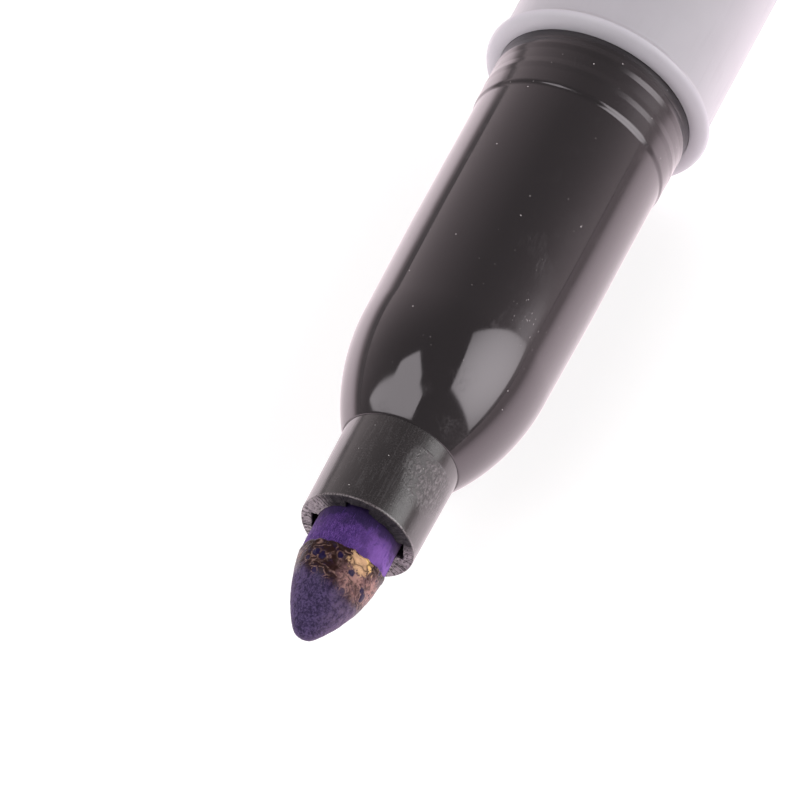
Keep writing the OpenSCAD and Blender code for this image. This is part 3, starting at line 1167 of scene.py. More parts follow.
class InkBeads(NodeModel):
    """Flattened beads of dried ink on the nib's crust."""

    def __init__(self, finish: Finish) -> None:
        """Builds the tree.

        Args:
            finish: The beads' finish.
        """
        super().__init__("ink_beads", "Seed", ("Density", "Smallest", "Largest", "Height"))
        graph = self.graph
        places = self.scatter(Mask.CRUST)
        ball = graph.add("GeometryNodeMeshIcoSphere", {}, {"Radius": 1.0, "Subdivisions": 2})
        flat = graph.add("ShaderNodeCombineXYZ", {}, {"X": 1.0, "Y": 1.0, "Z": self.given("Height")})
        bead = graph.add("GeometryNodeTransform", {}, {"Geometry": ball, "Scale": flat})
        size = self.between(self.given("Smallest"), self.given("Largest"), 5)
        self.close(self.repeat(places, bead, Rotation=places.other("Rotation"), Scale=size), finish)


@dataclass
class Piece:
    """One finished mesh and where it belongs."""

    obj: bpy.types.Object
    body: Body
    slot: Slot
    stands_for: tuple[str, ...] = ()

    def seat(self) -> None:
        """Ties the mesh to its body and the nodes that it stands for."""
        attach(self.obj, self.body.value)
        if self.stands_for:
            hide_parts(*self.stands_for)
        log.info("%s rides on %s, %d faces", self.obj.name, self.body.value, len(self.obj.data.polygons))


@dataclass(frozen=True)
class CapSeat:
    """The seat that the cap grips, on the front section and again on the barrel's tail."""

    radius: float = 5.05
    land_radius: float = 5.15
    land_len: float = 3.7


SEAT = CapSeat()


@dataclass
class Barrel:
    """Grey barrel with its lip, its inner ribs and its tail plug."""

    radius: float = 5.65
    bore: float = 4.70
    bore_cone: float = 0.95
    lip_radius: float = 6.0
    lip_thick: float = 0.8
    lip_back: float = 0.35
    lip_cove: float = 0.3
    lip_front: float = 0.12
    lip_steps: int = 24
    recess: float = 5.16
    tail_radius: float = 4.99
    tail_edge: float = 0.06
    post_bore: float = 4.20
    post_len: float = 17.99
    land_rise: float = 0.1
    land_edge: float = 0.08
    shoulder_fillet: float = 0.1
    rib_count: int = 6
    rib_width: float = 0.9
    rib_tip: float = 3.95
    rib_end: float = -8.1
    disc_thick: float = 1.0
    disc_edge: float = 0.2
    disc_seam: float = 0.04
    skirt_len: float = 6.0
    skirt_bore: float = 3.40
    skirt_edge: float = 0.08
    skirt_fillet: float = 0.2
    press_gap: float = 0.03

    def build(self) -> list[Piece]:
        """Builds the barrel, its ribs and its plug."""
        return [self.tube(), self.ribs(), self.plug()]

    @property
    def tail(self) -> float:
        """Where the barrel ends."""
        return AXIS.reach("barrel")[0]

    @property
    def bore_end(self) -> float:
        """Where the wide bore has narrowed to the tail's bore."""
        return self.tail + self.post_len + 2 * self.bore_cone

    def tube(self) -> Piece:
        """Turns the barrel's wall with its lip and its narrow tail.

        Returns:
            The barrel.
        """
        shoulder = self.tail + self.post_len
        step = shoulder - SEAT.land_len
        crest = self.lip_back - self.lip_thick
        nose = [(crest + (self.lip_front - crest) * math.sin(turn),
                 self.recess + (self.lip_radius - self.recess) * math.cos(turn))
                for turn in np.linspace(0.0, math.pi / 2, self.lip_steps + 1)[1:]]
        outline = rounded([
            (self.tail, self.post_bore, self.tail_edge),
            (self.tail, self.tail_radius, EDGE),
            (step - self.land_rise, SEAT.radius),
            (step, SEAT.land_radius, self.land_edge),
            (shoulder, SEAT.land_radius, self.shoulder_fillet),
            (shoulder, self.radius, EDGE),
            (-self.lip_thick, self.radius, self.lip_cove),
            (crest, self.lip_radius),
            *nose,
            (-self.lip_thick, self.recess),
            (-self.lip_thick, self.bore),
            (self.bore_end + self.bore_cone, self.bore),
            (self.bore_end, self.post_bore)], steps=8)
        obj = GREY.dress(lathe("barrel", outline, turns=320))
        return Piece(obj, Body.MARKER, Slot.BARREL, ("barrel",))

    def ribs(self) -> Piece:
        """Sets the ribs that hold the reservoir in the bore.

        Returns:
            The ribs, rooted in the wall.
        """
        span = (self.bore_end + 2 * self.bore_cone, self.rib_end)
        radii = (self.rib_tip, self.bore + EDGE)
        obj = RibRing(GREY).make("barrel_ribs", self.rib_count, span, radii, self.rib_width, EDGE)
        return Piece(obj, Body.MARKER, Slot.BARREL)

    def plug(self) -> Piece:
        """Turns the plug that closes the tail.

        Returns:
            The plug.
        """
        back = self.tail - self.disc_thick
        disc = self.tail_radius - 2 * EDGE
        skirt = self.post_bore - self.press_gap
        skirt_end = self.tail + self.skirt_len
        outline = rounded([
            (back, 0.0),
            (back, disc, self.disc_edge),
            (self.tail, disc, self.disc_seam),
            (self.tail, skirt),
            (skirt_end, skirt, EDGE),
            (skirt_end, self.skirt_bore, self.skirt_edge),
            (self.tail, self.skirt_bore, self.skirt_fillet),
            (self.tail, 0.0)], closed=False)
        obj = GREY.dress(lathe("tail_plug", outline, closed=False, turns=160))
        return Piece(obj, Body.MARKER, Slot.BARREL, ("tail_plug",))


@dataclass
class FrontSection:
    """Gloss black front section: plug, land with two beads, cap seat and dome."""

    plug_radius: float = 4.67
    plug_len: float = 8.0
    well_radius: float = 3.95
    well_end: float = 9.5
    land_back: float = -0.8
    land_edge: float = 0.05
    land_draft: float = 0.02
    bead_half: float = 0.34
    bead_round: float = 0.5
    beads: tuple[Span, ...] = ((0.265, 0.0316), (0.616, 0.020))
    step_len: float = 0.181
    step_round: float = 0.46
    seat_len: float = 8.0
    shoulder_radius: float = 4.97
    dome_len: float = 6.7
    dome_tip_radius: float = 3.08
    dome_edge: float = 0.1
    dome_steps: int = 64
    socket_radius: float = 2.78
    socket_floor: float = 17.2
    socket_edge: float = 0.05
    guide_radius: float = 2.30

    def build(self) -> list[Piece]:
        """Builds the section."""
        obj = BLACK.dress(lathe("front_section", rounded(self.corners()), turns=320))
        return [Piece(obj, Body.MARKER, Slot.SECTION, ("front_section",))]

    def bead(self, share: float, height: float) -> list[Triple]:
        """Draws a retaining bead.

        Args:
            share: Its place, as a share of the land's length.
            height: Its height over the land.

        Returns:
            Its corners, with their radii.
        """
        middle = share * SEAT.land_len
        base = SEAT.land_radius - self.land_draft * share
        return [(middle - self.bead_half, base, self.bead_round),
                (middle, base + height, self.bead_round),
                (middle + self.bead_half, base, self.bead_round)]

    def dome(self, nose: float) -> Outline:
        """Draws the dome as one arc that leaves the shoulder straight.

        Args:
            nose: Where the dome ends.

        Returns:
            Points from the shoulder to the nose.
        """
        drop = self.shoulder_radius - self.dome_tip_radius
        radius = (self.dome_len ** 2 + drop ** 2) / (2 * drop)
        end = math.degrees(math.asin(self.dome_len / radius))
        return arc((nose - self.dome_len, self.shoulder_radius - radius), radius, 0.0, end, self.dome_steps)

    def corners(self) -> list[tuple[float, ...]]:
        """Lists the outline's corners.

        Returns:
            Corners from the plug's rear round the outside to the well.
        """
        nose = AXIS.reach("front_section")[1]
        dome = self.dome(nose)
        return [(-self.plug_len, self.well_radius),
                (-self.plug_len, self.plug_radius, EDGE),
                (self.land_back, self.plug_radius),
                (self.land_back, SEAT.land_radius, self.land_edge),
                *(corner for bead in self.beads for corner in self.bead(*bead)),
                (SEAT.land_len - self.step_len, SEAT.land_radius - self.land_draft, self.step_round),
                (SEAT.land_len, SEAT.radius, self.step_round),
                (SEAT.land_len + self.seat_len, SEAT.radius),
                *dome[:-1],
                (*dome[-1], self.dome_edge),
                (nose, self.socket_radius, self.socket_edge),
                (self.socket_floor, self.socket_radius),
                (self.socket_floor, self.guide_radius),
                (self.well_end, self.guide_radius),
                (self.well_end, self.well_radius)]


@dataclass
class NibCollar:
    """Satin black collar round the nib, with air grooves in its bore and a rough cut front."""

    base_radius: float = 3.04
    front_radius: float = 2.97
    shank_radius: float = 2.75
    ledge: float = 24.0
    bore: float = 2.13
    groove_count: int = 4
    groove_width: float = 1.2
    groove_floor: float = 2.42
    wall_points: int = 6
    floor_points: int = 26
    land_points: int = 48
    edge: float = 0.08
    edge_turns: Triple = (22.5, 45.0, 67.5)
    rim_rows: int = 14
    skin_rows: int = 72
    bore_depths: tuple[float, ...] = (0.06, 0.2, 0.5, 1.2, 2.6, 5.2, 8.5)
    crumb_scale: float = 3.2
    spoke_scale: float = 9.0
    cut_depth: float = 0.05
    cut_sink: float = 0.02
    wear_width: float = 0.04
    wear_depth: float = 0.09
    sharp: float = 60.0

    def build(self) -> list[Piece]:
        """Builds the collar."""
        return [Piece(COLLAR_BLACK.dress(self.mesh()), Body.MARKER, Slot.COLLAR, ("nib_collar",))]

    def bore_contour(self) -> tuple[np.ndarray, np.ndarray]:
        """Draws the bore with its grooves.

        Returns:
            Angles and radii of the points, once round the axis.
        """
        half = self.groove_width / 2
        mouth = math.sqrt(self.bore ** 2 - half ** 2)
        wall = np.linspace(mouth, self.groove_floor, self.wall_points, endpoint=False)
        floor = np.linspace(-half, half, self.floor_points, endpoint=False)
        across = np.concatenate([np.full_like(wall, -half), floor, np.full_like(wall, half)])
        out = np.concatenate([wall, np.full_like(floor, self.groove_floor), self.groove_floor + mouth - wall])
        opening = math.asin(half / self.bore)
        pitch = 2 * math.pi / self.groove_count
        land = np.linspace(opening, pitch - opening, self.land_points, endpoint=False)
        angle = np.concatenate([np.arctan2(across, out), land])
        radius = np.concatenate([np.hypot(across, out), np.full_like(land, self.bore)])
        turned = [angle + pitch * k for k in range(self.groove_count)]
        return np.concatenate(turned), np.tile(radius, self.groove_count)

    def mesh(self) -> bpy.types.Object:
        """Bridges the outside, the cut front and the grooved bore.

        Returns:
            The collar's object, with its masks.
        """
        rear, front = AXIS.reach("nib_collar")
        angle, bore = self.bore_contour()
        count = len(angle)
        skin_end = front - self.edge
        rim_radius = self.front_radius - self.edge
        rows: list[tuple[float, "float | np.ndarray"]] = [
            (rear, self.shank_radius - self.edge), (rear + self.edge, self.shank_radius),
            (self.ledge, self.shank_radius), (self.ledge, self.base_radius)]
        for share in np.linspace(0.0, 1.0, self.skin_rows + 1)[1:]:
            rows.append((self.ledge + share * (skin_end - self.ledge),
                         self.base_radius + share * (self.front_radius - self.base_radius)))
        rim_start = len(rows)
        for turn in np.radians(self.edge_turns):
            rows.append((skin_end + self.edge * math.sin(turn), rim_radius + self.edge * math.cos(turn)))
        for share in np.linspace(0.0, 1.0, self.rim_rows + 1):
            rows.append((front, rim_radius + share * (bore - rim_radius)))
        rim = slice(rim_start, len(rows) + 1)
        rows += [(front - depth, bore) for depth in self.bore_depths]
        rows.append((rear, bore))

        along = np.array([np.full(count, row[0]) for row in rows])
        radius = np.array([np.broadcast_to(row[1], count) for row in rows])
        torn = along.copy()
        torn[rim] += self.tears(along[rim], radius[rim], angle)
        points = AXIS.points(torn, radius, angle).reshape(-1, 3)
        numbers = np.arange(along.size).reshape(along.shape)
        obj = make_object("nib_collar", points, skin(list(numbers), True), self.sharp)
        self.mark(obj, along, radius, front)
        return obj

    def tears(self, along: np.ndarray, radius: np.ndarray, angle: np.ndarray) -> np.ndarray:
        """Breaks up the cut front with crumbs and radial tears.

        Args:
            along: Distances from the mouth, in rows from the skin to the bore.
            radius: Distances from the axis.
            angle: Angles round the axis.

        Returns:
            How far each point moves along the axis, least at the first rows and the last.
        """
        local = AXIS.offsets(along, radius, angle).reshape(-1, 3)
        crumbs = waves(local, self.crumb_scale, 4).reshape(along.shape)
        spokes = waves(AXIS.offsets(0.0, self.spoke_scale, angle), 1.0)
        share = np.clip((np.arange(len(along)) - 1) / 4, 0, 1)
        share[-1] = 0.3
        return (self.cut_depth * (crumbs + 0.7 * spokes) - self.cut_sink) * share[:, None]

    def mark(self, obj: bpy.types.Object, along: np.ndarray, radius: np.ndarray, front: float) -> None:
        """Keeps where the cut front and its worn outer edge are.

        Args:
            obj: The collar's object.
            along: Distances from the mouth.
            radius: Distances from the axis.
            front: Where the collar ends.
        """
        inside = (radius < self.front_radius - 0.3 * self.edge) & (along > front - self.edge)
        face = (along > front - NEAR_ZERO) | inside
        outer = radius > self.front_radius - self.wear_depth
        worn = bell(along, front - 0.7 * self.edge, self.wear_width) * outer
        set_mask(obj, Mask.FRONT, face.astype(float).ravel())
        set_mask(obj, Mask.EDGE, worn.ravel())


@dataclass
class Nib:
    """Violet bullet nib with a band of dried ink, pitted where bubbles burst.

    Places on the nib are distances along the marker and degrees round it from the photograph's side.
    """

    radius: float = 2.1
    nose: float = 5.2
    tip_radius: float = 0.8
    turns: int = 288
    sharp: float = 75.0
    hidden_row: float = 15.0
    straight_rows: int = 46
    side_rows: int = 130
    tip_rows: int = 22
    bare_from: float = 28.9
    view_angle: float = math.radians(16.71)
    crust_top: float = 31.28
    crust_lean: float = 0.65
    lean_side: float = math.radians(110.0)
    crust_low: float = 32.8
    crust_tilt: float = 0.7
    tilt_side: float = math.radians(30.0)
    crust_thick: float = 0.035
    gilt_at: tuple[Span, ...] = ((31.68, 24.0), (31.8, 165.0), (32.2, -120.0))
    gilt_reach: float = 0.64
    blush_at: tuple[Span, ...] = ((32.55, 28.0), (32.1, 70.0), (32.5, -160.0))
    blush_reach: float = 0.78
    pit_count: int = 30
    pit_sizes: Span = (0.08, 0.25)
    burst_from: float = 0.13
    seed: int = 1730
    fibre_density: float = 1.2e7
    fibre_len: float = 0.30
    fibre_radius: float = 0.006
    fibre_lean: float = 0.16
    fibre_seed: int = 21
    bead_density: float = 3.0e5
    bead_sizes: Span = (0.03, 0.08)
    bead_height: float = 0.35
    bead_seed: int = 8

    def build(self) -> list[Piece]:
        """Builds the nib.

        Returns:
            The nib, its stray fibres and the beads of dried ink.
        """
        nib = self.mesh()
        fibres = StrayFibres(STRAY_FIBRE).run("nib_fibres", nib.data.copy(), {
            "Seed": self.fibre_seed, "Density": self.fibre_density, "Length": self.fibre_len * MM,
            "Radius": self.fibre_radius * MM, "Lean": self.fibre_lean})
        smallest, largest = self.bead_sizes
        beads = InkBeads(BEAD_INK).run("ink_beads", nib.data.copy(), {
            "Seed": self.bead_seed, "Density": self.bead_density, "Smallest": smallest * MM,
            "Largest": largest * MM, "Height": self.bead_height})
        return [Piece(FELT.dress(nib), Body.MARKER, Slot.NIB, ("nib",)),
                Piece(fibres, Body.MARKER, Slot.NIB), Piece(beads, Body.MARKER, Slot.NIB)]

    def outline(self) -> tuple[Outline, int]:
        """Draws the nib from its rear end to its tip.

        Returns:
            The outline, and the number of its first point that shows.
        """
        rear, tip = AXIS.reach("nib")
        shoulder = tip - self.nose
        ball = self.nose - self.tip_radius
        ogive = (ball ** 2 + self.radius ** 2 - self.tip_radius ** 2) / (2 * (self.radius - self.tip_radius))
        ogive_end = math.degrees(math.atan2(ball, ogive - self.radius))
        hidden = [(rear, 0.0), (rear, self.tip_radius), (rear + self.radius, self.radius),
                  (self.hidden_row, self.radius)]
        places = np.linspace(self.bare_from, shoulder, self.straight_rows, endpoint=False)
        straight = [(place, self.radius) for place in places]
        side = arc((shoulder, self.radius - ogive), ogive, 0.0, ogive_end, self.side_rows)
        nose = arc((tip - self.tip_radius, 0.0), self.tip_radius, ogive_end, 90.0, self.tip_rows)
        return hidden + straight + side[:-1] + nose[:-1] + [(tip, 0.0)], len(hidden)

    def mesh(self) -> bpy.types.Object:
        """Turns the nib, raises its crust and keeps its masks.

        Returns:
            The nib's object.
        """
        outline, shown = self.outline()
        points, rows = rings(outline, self.turns)
        along, radius = np.array(outline[shown:-1]).T
        slope = np.gradient(radius, along)
        lean = np.repeat(1 / np.hypot(1, slope), self.turns)
        climb = np.repeat(-slope / np.hypot(1, slope), self.turns)
        angle = np.tile(circle(self.turns), len(along))
        along = np.repeat(along, self.turns)
        radius = np.repeat(radius, self.turns)
        height, masks = self.weather(along, radius, angle)
        first, tip = rows[shown][0], rows[-1][0]
        points[first:tip] = AXIS.points(along + climb * height, radius + lean * height, angle)
        obj = make_object("nib", points, skin(rows, False), self.sharp)
        for mask, values in masks.items():
            set_mask(obj, mask, np.concatenate([np.zeros(first), values, values[-1:]]))
        return obj

    def weather(self, along: np.ndarray, radius: np.ndarray,
                angle: np.ndarray) -> tuple[np.ndarray, dict[Mask, np.ndarray]]:
        """Works out how the felt, the dried ink and the nose stand out.

        Args:
            along: Distances from the mouth.
            radius: Distances from the axis.
            angle: Angles round the axis.

        Returns:
            The height of each point above the plain nib, and its masks.
        """
        side = angle - self.view_angle
        local = AXIS.offsets(along, radius, angle)
        wander = waves(local * (0.3, 1.0, 1.0), 1.1)
        ripple = waves(local, 3.0)
        lean = np.maximum(np.cos(side - self.lean_side), 0.0) ** 2
        top = self.crust_top - self.crust_lean * lean + 0.16 * wander + 0.06 * ripple
        low = self.crust_low + self.crust_tilt * np.cos(side - self.tilt_side) + 0.35 * wander
        crust = rise(along, top - 0.04, top + 0.05) * rise(along, low + 0.8, low - 0.7)
        ridge = bell(along, top + 0.1, 0.1) * rise(along, low + 0.3, low)
        pit, rim, dent = self.pits(local, crust)

        fibre = waves(local * (0.25, 1.0, 1.0), 9.0, 2)
        swell = waves(local, 1.4, 4)
        felt = rise(along, self.bare_from + 0.2, self.bare_from + 0.8) * (1 - crust)
        height = felt * (0.012 * fibre + 0.008 * swell)
        height += crust * (self.crust_thick + 0.022 * swell + 0.012 * ripple + dent) + 0.03 * ridge
        hairy = rise(along, self.bare_from + 0.35, self.bare_from + 0.55) * (1 - rise(along, top - 0.1, top))
        return height, {
            Mask.FELT: hairy, Mask.CRUST: crust, Mask.PIT: pit, Mask.RIM: rim,
            Mask.GILT: self.patches(along, side, self.gilt_at, self.gilt_reach),
            Mask.BLUSH: self.patches(along, side, self.blush_at, self.blush_reach),
            Mask.TIP: rise(along, low - 0.9, low - 0.1)}

    def pits(self, local: np.ndarray, crust: np.ndarray) -> tuple[np.ndarray, np.ndarray, np.ndarray]:
        """Puts bubbles in the crust, the small ones burst and the large ones whole.

        Args:
            local: Points in millimetres.
            crust: Share of crust at each point.

        Returns:
            Shares of pit and of pit rim at each point, and how far the crust is dented there.
        """
        random = np.random.default_rng(self.seed)
        inside = np.flatnonzero(crust > 0.6)
        centres = local[random.choice(inside, self.pit_count, replace=False)]
        least, most = self.pit_sizes
        sizes = least + (most - least) * random.random(self.pit_count) ** 2
        pit, rim, dent = np.zeros((3, len(local)))
        uneven = 0.3 * waves(local, 4.5, 2)
        for centre, size in zip(centres, sizes):
            far = np.linalg.norm(local - centre, axis=1) / size + uneven
            hole = 1 - rise(far, 0.75, 0.95)
            edge = bell(far, 1.08, 0.14)
            pit = np.maximum(pit, hole)
            rim = np.maximum(rim, edge)
            dent += 0.015 * edge + 0.2 * (size - self.burst_from) * hole * np.clip(1 - far ** 2, 0, 1)
        return pit, rim * (1 - pit), dent

    def patches(self, along: np.ndarray, side: np.ndarray, places: Sequence[Span],
                reach: float) -> np.ndarray:
        """Gives soft patches round places on the nib.

        Args:
            along: Distances from the mouth.
            side: Angles from the photograph's side, in radians.
            places: Where the patches are.
            reach: How far a patch goes along the nib.

        Returns:
            1 at the middle of a patch, falling towards 0 around it.
        """
        share = np.zeros(len(along))
        for place, degrees in places:
            across = 2 * self.radius * np.sin((side - math.radians(degrees)) / 2)
            share = np.maximum(share, np.exp(-((along - place) ** 2 + 0.5 * across ** 2) / reach ** 2))
        return share


@dataclass(frozen=True)
class ClipFrame:
    """The clip's own plane: along the marker, out from the axis and across the clip."""

    along: float
    root: float
    out: Vector
    across: Vector
    sharp: float = 35.0
    edge_steps: int = 4

    @classmethod
    def from_record(cls) -> "ClipFrame":
        """Reads the plane from the clip's joint.

        Returns:
            The plane, with the joint as its root.
        """
        joint = next(j for j in frame["joints"] if j["child"] == Body.CLIP.value)
        arm = (Vector(joint["pos_m"]) - AXIS.mouth) / MM
        out = Vector((0.0, arm.y, arm.z))
        return cls(arm.x, out.length, out.normalized(), Vector(joint["axis"]).normalized())

    def slab(self, name: str, outline: Outline, width: float, edge: float) -> bpy.types.Object:
        """Makes a flat piece in the clip's plane.

        Args:
            name: Name of the piece.
            outline: Points along from the root and out from the axis.
            width: Width across the plane.
            edge: Radius of the edges round both faces.

        Returns:
            The new object.
        """
        shape = bmesh.new()
        base = AXIS.at(self.along)
        corners = [base + (Vector((s, 0.0, 0.0)) + self.out * r - self.across * (width / 2)) * MM
                   for s, r in outline]
        face = shape.faces.new([shape.verts.new(corner) for corner in corners])
        rims = list(face.edges)
        extruded = bmesh.ops.extrude_face_region(shape, geom=[face])["geom"]
        moved = [v for v in extruded if isinstance(v, bmesh.types.BMVert)]
        rims += [e for e in extruded if isinstance(e, bmesh.types.BMEdge)]
        bmesh.ops.translate(shape, verts=moved, vec=self.across * (width * MM))
        bmesh.ops.recalc_face_normals(shape, faces=shape.faces)
        bmesh.ops.bevel(shape, geom=rims, offset=edge * MM, segments=self.edge_steps, profile=0.5,
                        affect="EDGES", clamp_overlap=True)
        mesh = bpy.data.meshes.new(name)
        shape.to_mesh(mesh)
        shape.free()
        return add_piece(name, mesh, self.sharp)


@dataclass
class Cap:
    """Black cap posted on the tail, with its grip ribs, the pad for the clip and the inner seal."""

    radius: float = 6.0
    mouth_bore: float = 5.26
    mouth_edge: float = 0.2
    deep_bore: float = 5.10
    grip_depth: float = 18.99
    step_edge: float = 0.05
    crown_thick: float = 1.2
    crown_round: float = 1.2
    floor_fillet: float = 0.2
    rib_count: int = 6
    rib_width: float = 0.8
    rib_from: float = 4.4
    rib_edge: float = 0.05
    pad_half: float = 1.6
    pad_width: float = 4.0
    pad_base: float = 5.54
    pad_top: float = 6.9
    pad_edge: float = 0.2
    groove_radius: float = 1.0
    groove_steps: int = 20
    seal_radius: float = 5.07
    seal_bore: float = 4.30
    seal_edge: float = 0.1
    seal_lead: float = 0.25
    web_depth: float = 37.2
    web_thick: float = 0.8
    web_fillet: float = 0.3

    def build(self) -> list[Piece]:
        """Builds the shell, its ribs, the clip's pad and the seal."""
        return [self.shell(), self.ribs(), self.pad(), self.seal()]

    @property
    def mouth(self) -> float:
        """Where the open end is."""
        return AXIS.reach("cap_shell")[1]

    def shell(self) -> Piece:
        """Turns the cap's wall and crown.

        Returns:
            The shell.
        """
        crown, mouth = AXIS.reach("cap_shell")
        step = mouth - self.grip_depth
        floor = crown + self.crown_thick
        outline = rounded([
            (crown, 0.0),
            (crown, self.radius, self.crown_round),
            (mouth, self.radius, self.mouth_edge),
            (mouth, self.mouth_bore, EDGE),
            (step, self.mouth_bore),
            (step, self.deep_bore, self.step_edge),
            (floor, self.deep_bore, self.floor_fillet),
            (floor, 0.0)], closed=False, steps=12)
        obj = CAP_BLACK.dress(lathe("cap_shell", outline, closed=False))
        return Piece(obj, Body.CAP, Slot.CAP, ("cap_shell",))

    def ribs(self) -> Piece:
        """Sets the ribs that grip the marker's seat.

        Returns:
            The ribs, rooted in the wall.
        """
        span = (self.mouth - self.grip_depth, self.mouth - self.rib_from)
        radii = (self.deep_bore, self.mouth_bore + EDGE)
        obj = RibRing(CAP_BLACK).make("cap_grip_ribs", self.rib_count, span, radii, self.rib_width,
                                      self.rib_edge)
        return Piece(obj, Body.CAP, Slot.CAP)

    def pad(self) -> Piece:
        """Cuts the clip's groove into a pad near the crown.

        Returns:
            The pad.
        """
        hinge = ClipFrame.from_record()
        climb = self.pad_top - hinge.root
        reach = math.sqrt(self.groove_radius ** 2 - climb ** 2)
        turn = math.degrees(math.atan2(reach, climb))
        groove = arc((0.0, hinge.root), self.groove_radius, turn, 360.0 - turn, self.groove_steps)
        outline = rounded([
            (-self.pad_half, self.pad_base),
            (-self.pad_half, self.pad_top, self.pad_edge),
            *reversed(groove),
            (self.pad_half, self.pad_top, self.pad_edge),
            (self.pad_half, self.pad_base)], steps=5)
        obj = CAP_BLACK.dress(hinge.slab("clip_pad", outline, self.pad_width, EDGE))
        return Piece(obj, Body.CAP, Slot.CAP)

    def seal(self) -> Piece:
        """Turns the inner seal, a tube with a web across it.

        Returns:
            The seal.
        """
        rear, front = AXIS.reach("cap_liner")
        web = self.mouth - self.web_depth
        web_back = web - self.web_thick
        outline = rounded([
            (web_back, 0.0),
            (web_back, self.seal_bore, self.web_fillet),
            (rear, self.seal_bore, self.seal_edge),
            (rear, self.seal_radius, self.seal_edge),
            (front, self.seal_radius, EDGE),
            (front, self.seal_bore, self.seal_lead),
            (web, self.seal_bore, self.web_fillet),
            (web, 0.0)], closed=False)
        obj = SEAL.dress(lathe("cap_liner", outline, closed=False, turns=192))
        return Piece(obj, Body.CAP, Slot.SEAL, ("cap_liner",))


@dataclass
class PocketClip:
    """Black clip: a rounded root in the pad, a flat arm and a bead that bears on the cap."""

    width: float = 4.0
    inner: float = 7.0
    outer: float = 8.3
    length: float = 36.0
    bead_radius: float = 0.85
    bead_turn: Span = (75.0, 285.0)
    tip_turn: Span = (0.0, 170.0)
    root_steps: int = 28
    arm_steps: int = 6
    tip_steps: int = 14
    bead_steps: int = 20
    edge: float = 0.22

    def build(self) -> list[Piece]:
        """Builds the clip.

        Returns:
            The clip, on its own body.
        """
        hinge = ClipFrame.from_record()
        obj = CAP_BLACK.dress(hinge.slab("pocket_clip", self.outline(hinge.root), self.width, self.edge))
        return [Piece(obj, Body.CLIP, Slot.CAP, ("pocket_clip",))]

    def outline(self, root: float) -> Outline:
        """Draws the clip's side, from its root round its free end.

        Args:
            root: Distance of the root's middle from the marker's axis.

        Returns:
            Points along from the root and out from the axis.
        """
        half = (self.outer - self.inner) / 2
        root_radius = self.outer - root
        end = self.length - half
        bead = self.length - 2 * self.bead_radius
        drop = math.degrees(math.acos((self.inner - root) / root_radius))
        root_arc = arc((0.0, root), root_radius, drop, 360.0, self.root_steps)
        back = [(end * step / self.arm_steps, self.outer) for step in range(1, self.arm_steps)]
        tip = arc((end, self.outer - half), half, *self.tip_turn, self.tip_steps)
        foot = arc((bead, self.inner), self.bead_radius, *self.bead_turn, self.bead_steps)
        return root_arc + back + tip + foot


def facing(place: Vector, right: Vector, up: Vector) -> Matrix:
    """Gives the matrix of a lamp or a camera at a place, from where its right side and its top point."""
    return Matrix.Translation(place) @ Matrix((right, up, right.cross(up))).transposed().to_4x4()


@dataclass(frozen=True)
class PhotoCamera:
    """Camera at the photograph's angle."""

    azimuth: float = math.radians(113.64)
    elevation: float = math.radians(53.17)
    distance: float = 500.0
    pan: Span = (2.064, 6.543)
    lens: float = 468.0
    sensor: float = 36.0
    clip: Span = (0.01, 20.0)

    def build(self) -> None:
        """Looks at the collar's front, moved off the middle by the pan."""
        back = Vector((math.sin(self.azimuth) * math.cos(self.elevation),
                       -math.cos(self.azimuth) * math.cos(self.elevation), math.sin(self.elevation)))
        right = Vector((math.cos(self.azimuth), math.sin(self.azimuth), 0.0))
        up = back.cross(right)
        camera = bpy.data.cameras.new("photo_camera")
        camera.lens = self.lens
        camera.sensor_width = self.sensor
        camera.clip_start, camera.clip_end = self.clip
        obj = add_object("photo_camera", camera)
        target = AXIS.at(AXIS.reach("nib_collar")[1])
        place = target + MM * (self.distance * back + self.pan[0] * right + self.pan[1] * up)
        obj.matrix_world = facing(place, right, up)
        bpy.context.scene.camera = obj


class AreaLamp(ABC):
    """A flat lamp whose light varies over its face."""

    name: str
    level: float

    def hang(self, size: Span, matrix: Matrix, tint: Colour = WHITE) -> bpy.types.Object:
        """Puts the lamp into the scene, with the level as its brightness.

        Args:
            size: Width and height, in metres.
            matrix: Where the lamp is and how it is turned.
            tint: Colour of its light.

        Returns:
            The lamp's object.
        """
        lamp = bpy.data.lights.new(self.name, "AREA")
        lamp.shape = "RECTANGLE"
        lamp.color = tint
        lamp.size, lamp.size_y = size
        lamp.energy = self.level * math.pi * lamp.size * lamp.size_y
        graph = Graph.start(lamp)
        across, along, _ = graph.split(graph.add("ShaderNodeNewGeometry", {}, {}, "Parametric"))
        glow = graph.add("ShaderNodeEmission", {}, {"Strength": self.light(across, along)})
        graph.close("ShaderNodeOutputLight", glow)
        obj = add_object(self.name, lamp)
        obj.matrix_world = matrix
        return obj

    @abstractmethod
    def light(self, across: Signal, along: Signal) -> Signal:
        """Works out the light at a place on the lamp.

        Args:
            across: Share of the lamp's width, from 0 to 1.
            along: Share of its height, from 0 to 1.

        Returns:
            The light, as a share of the level.
        """

    @abstractmethod
    def build(self, target: Vector) -> None:
        """Hangs the lamp for a target on the marker."""


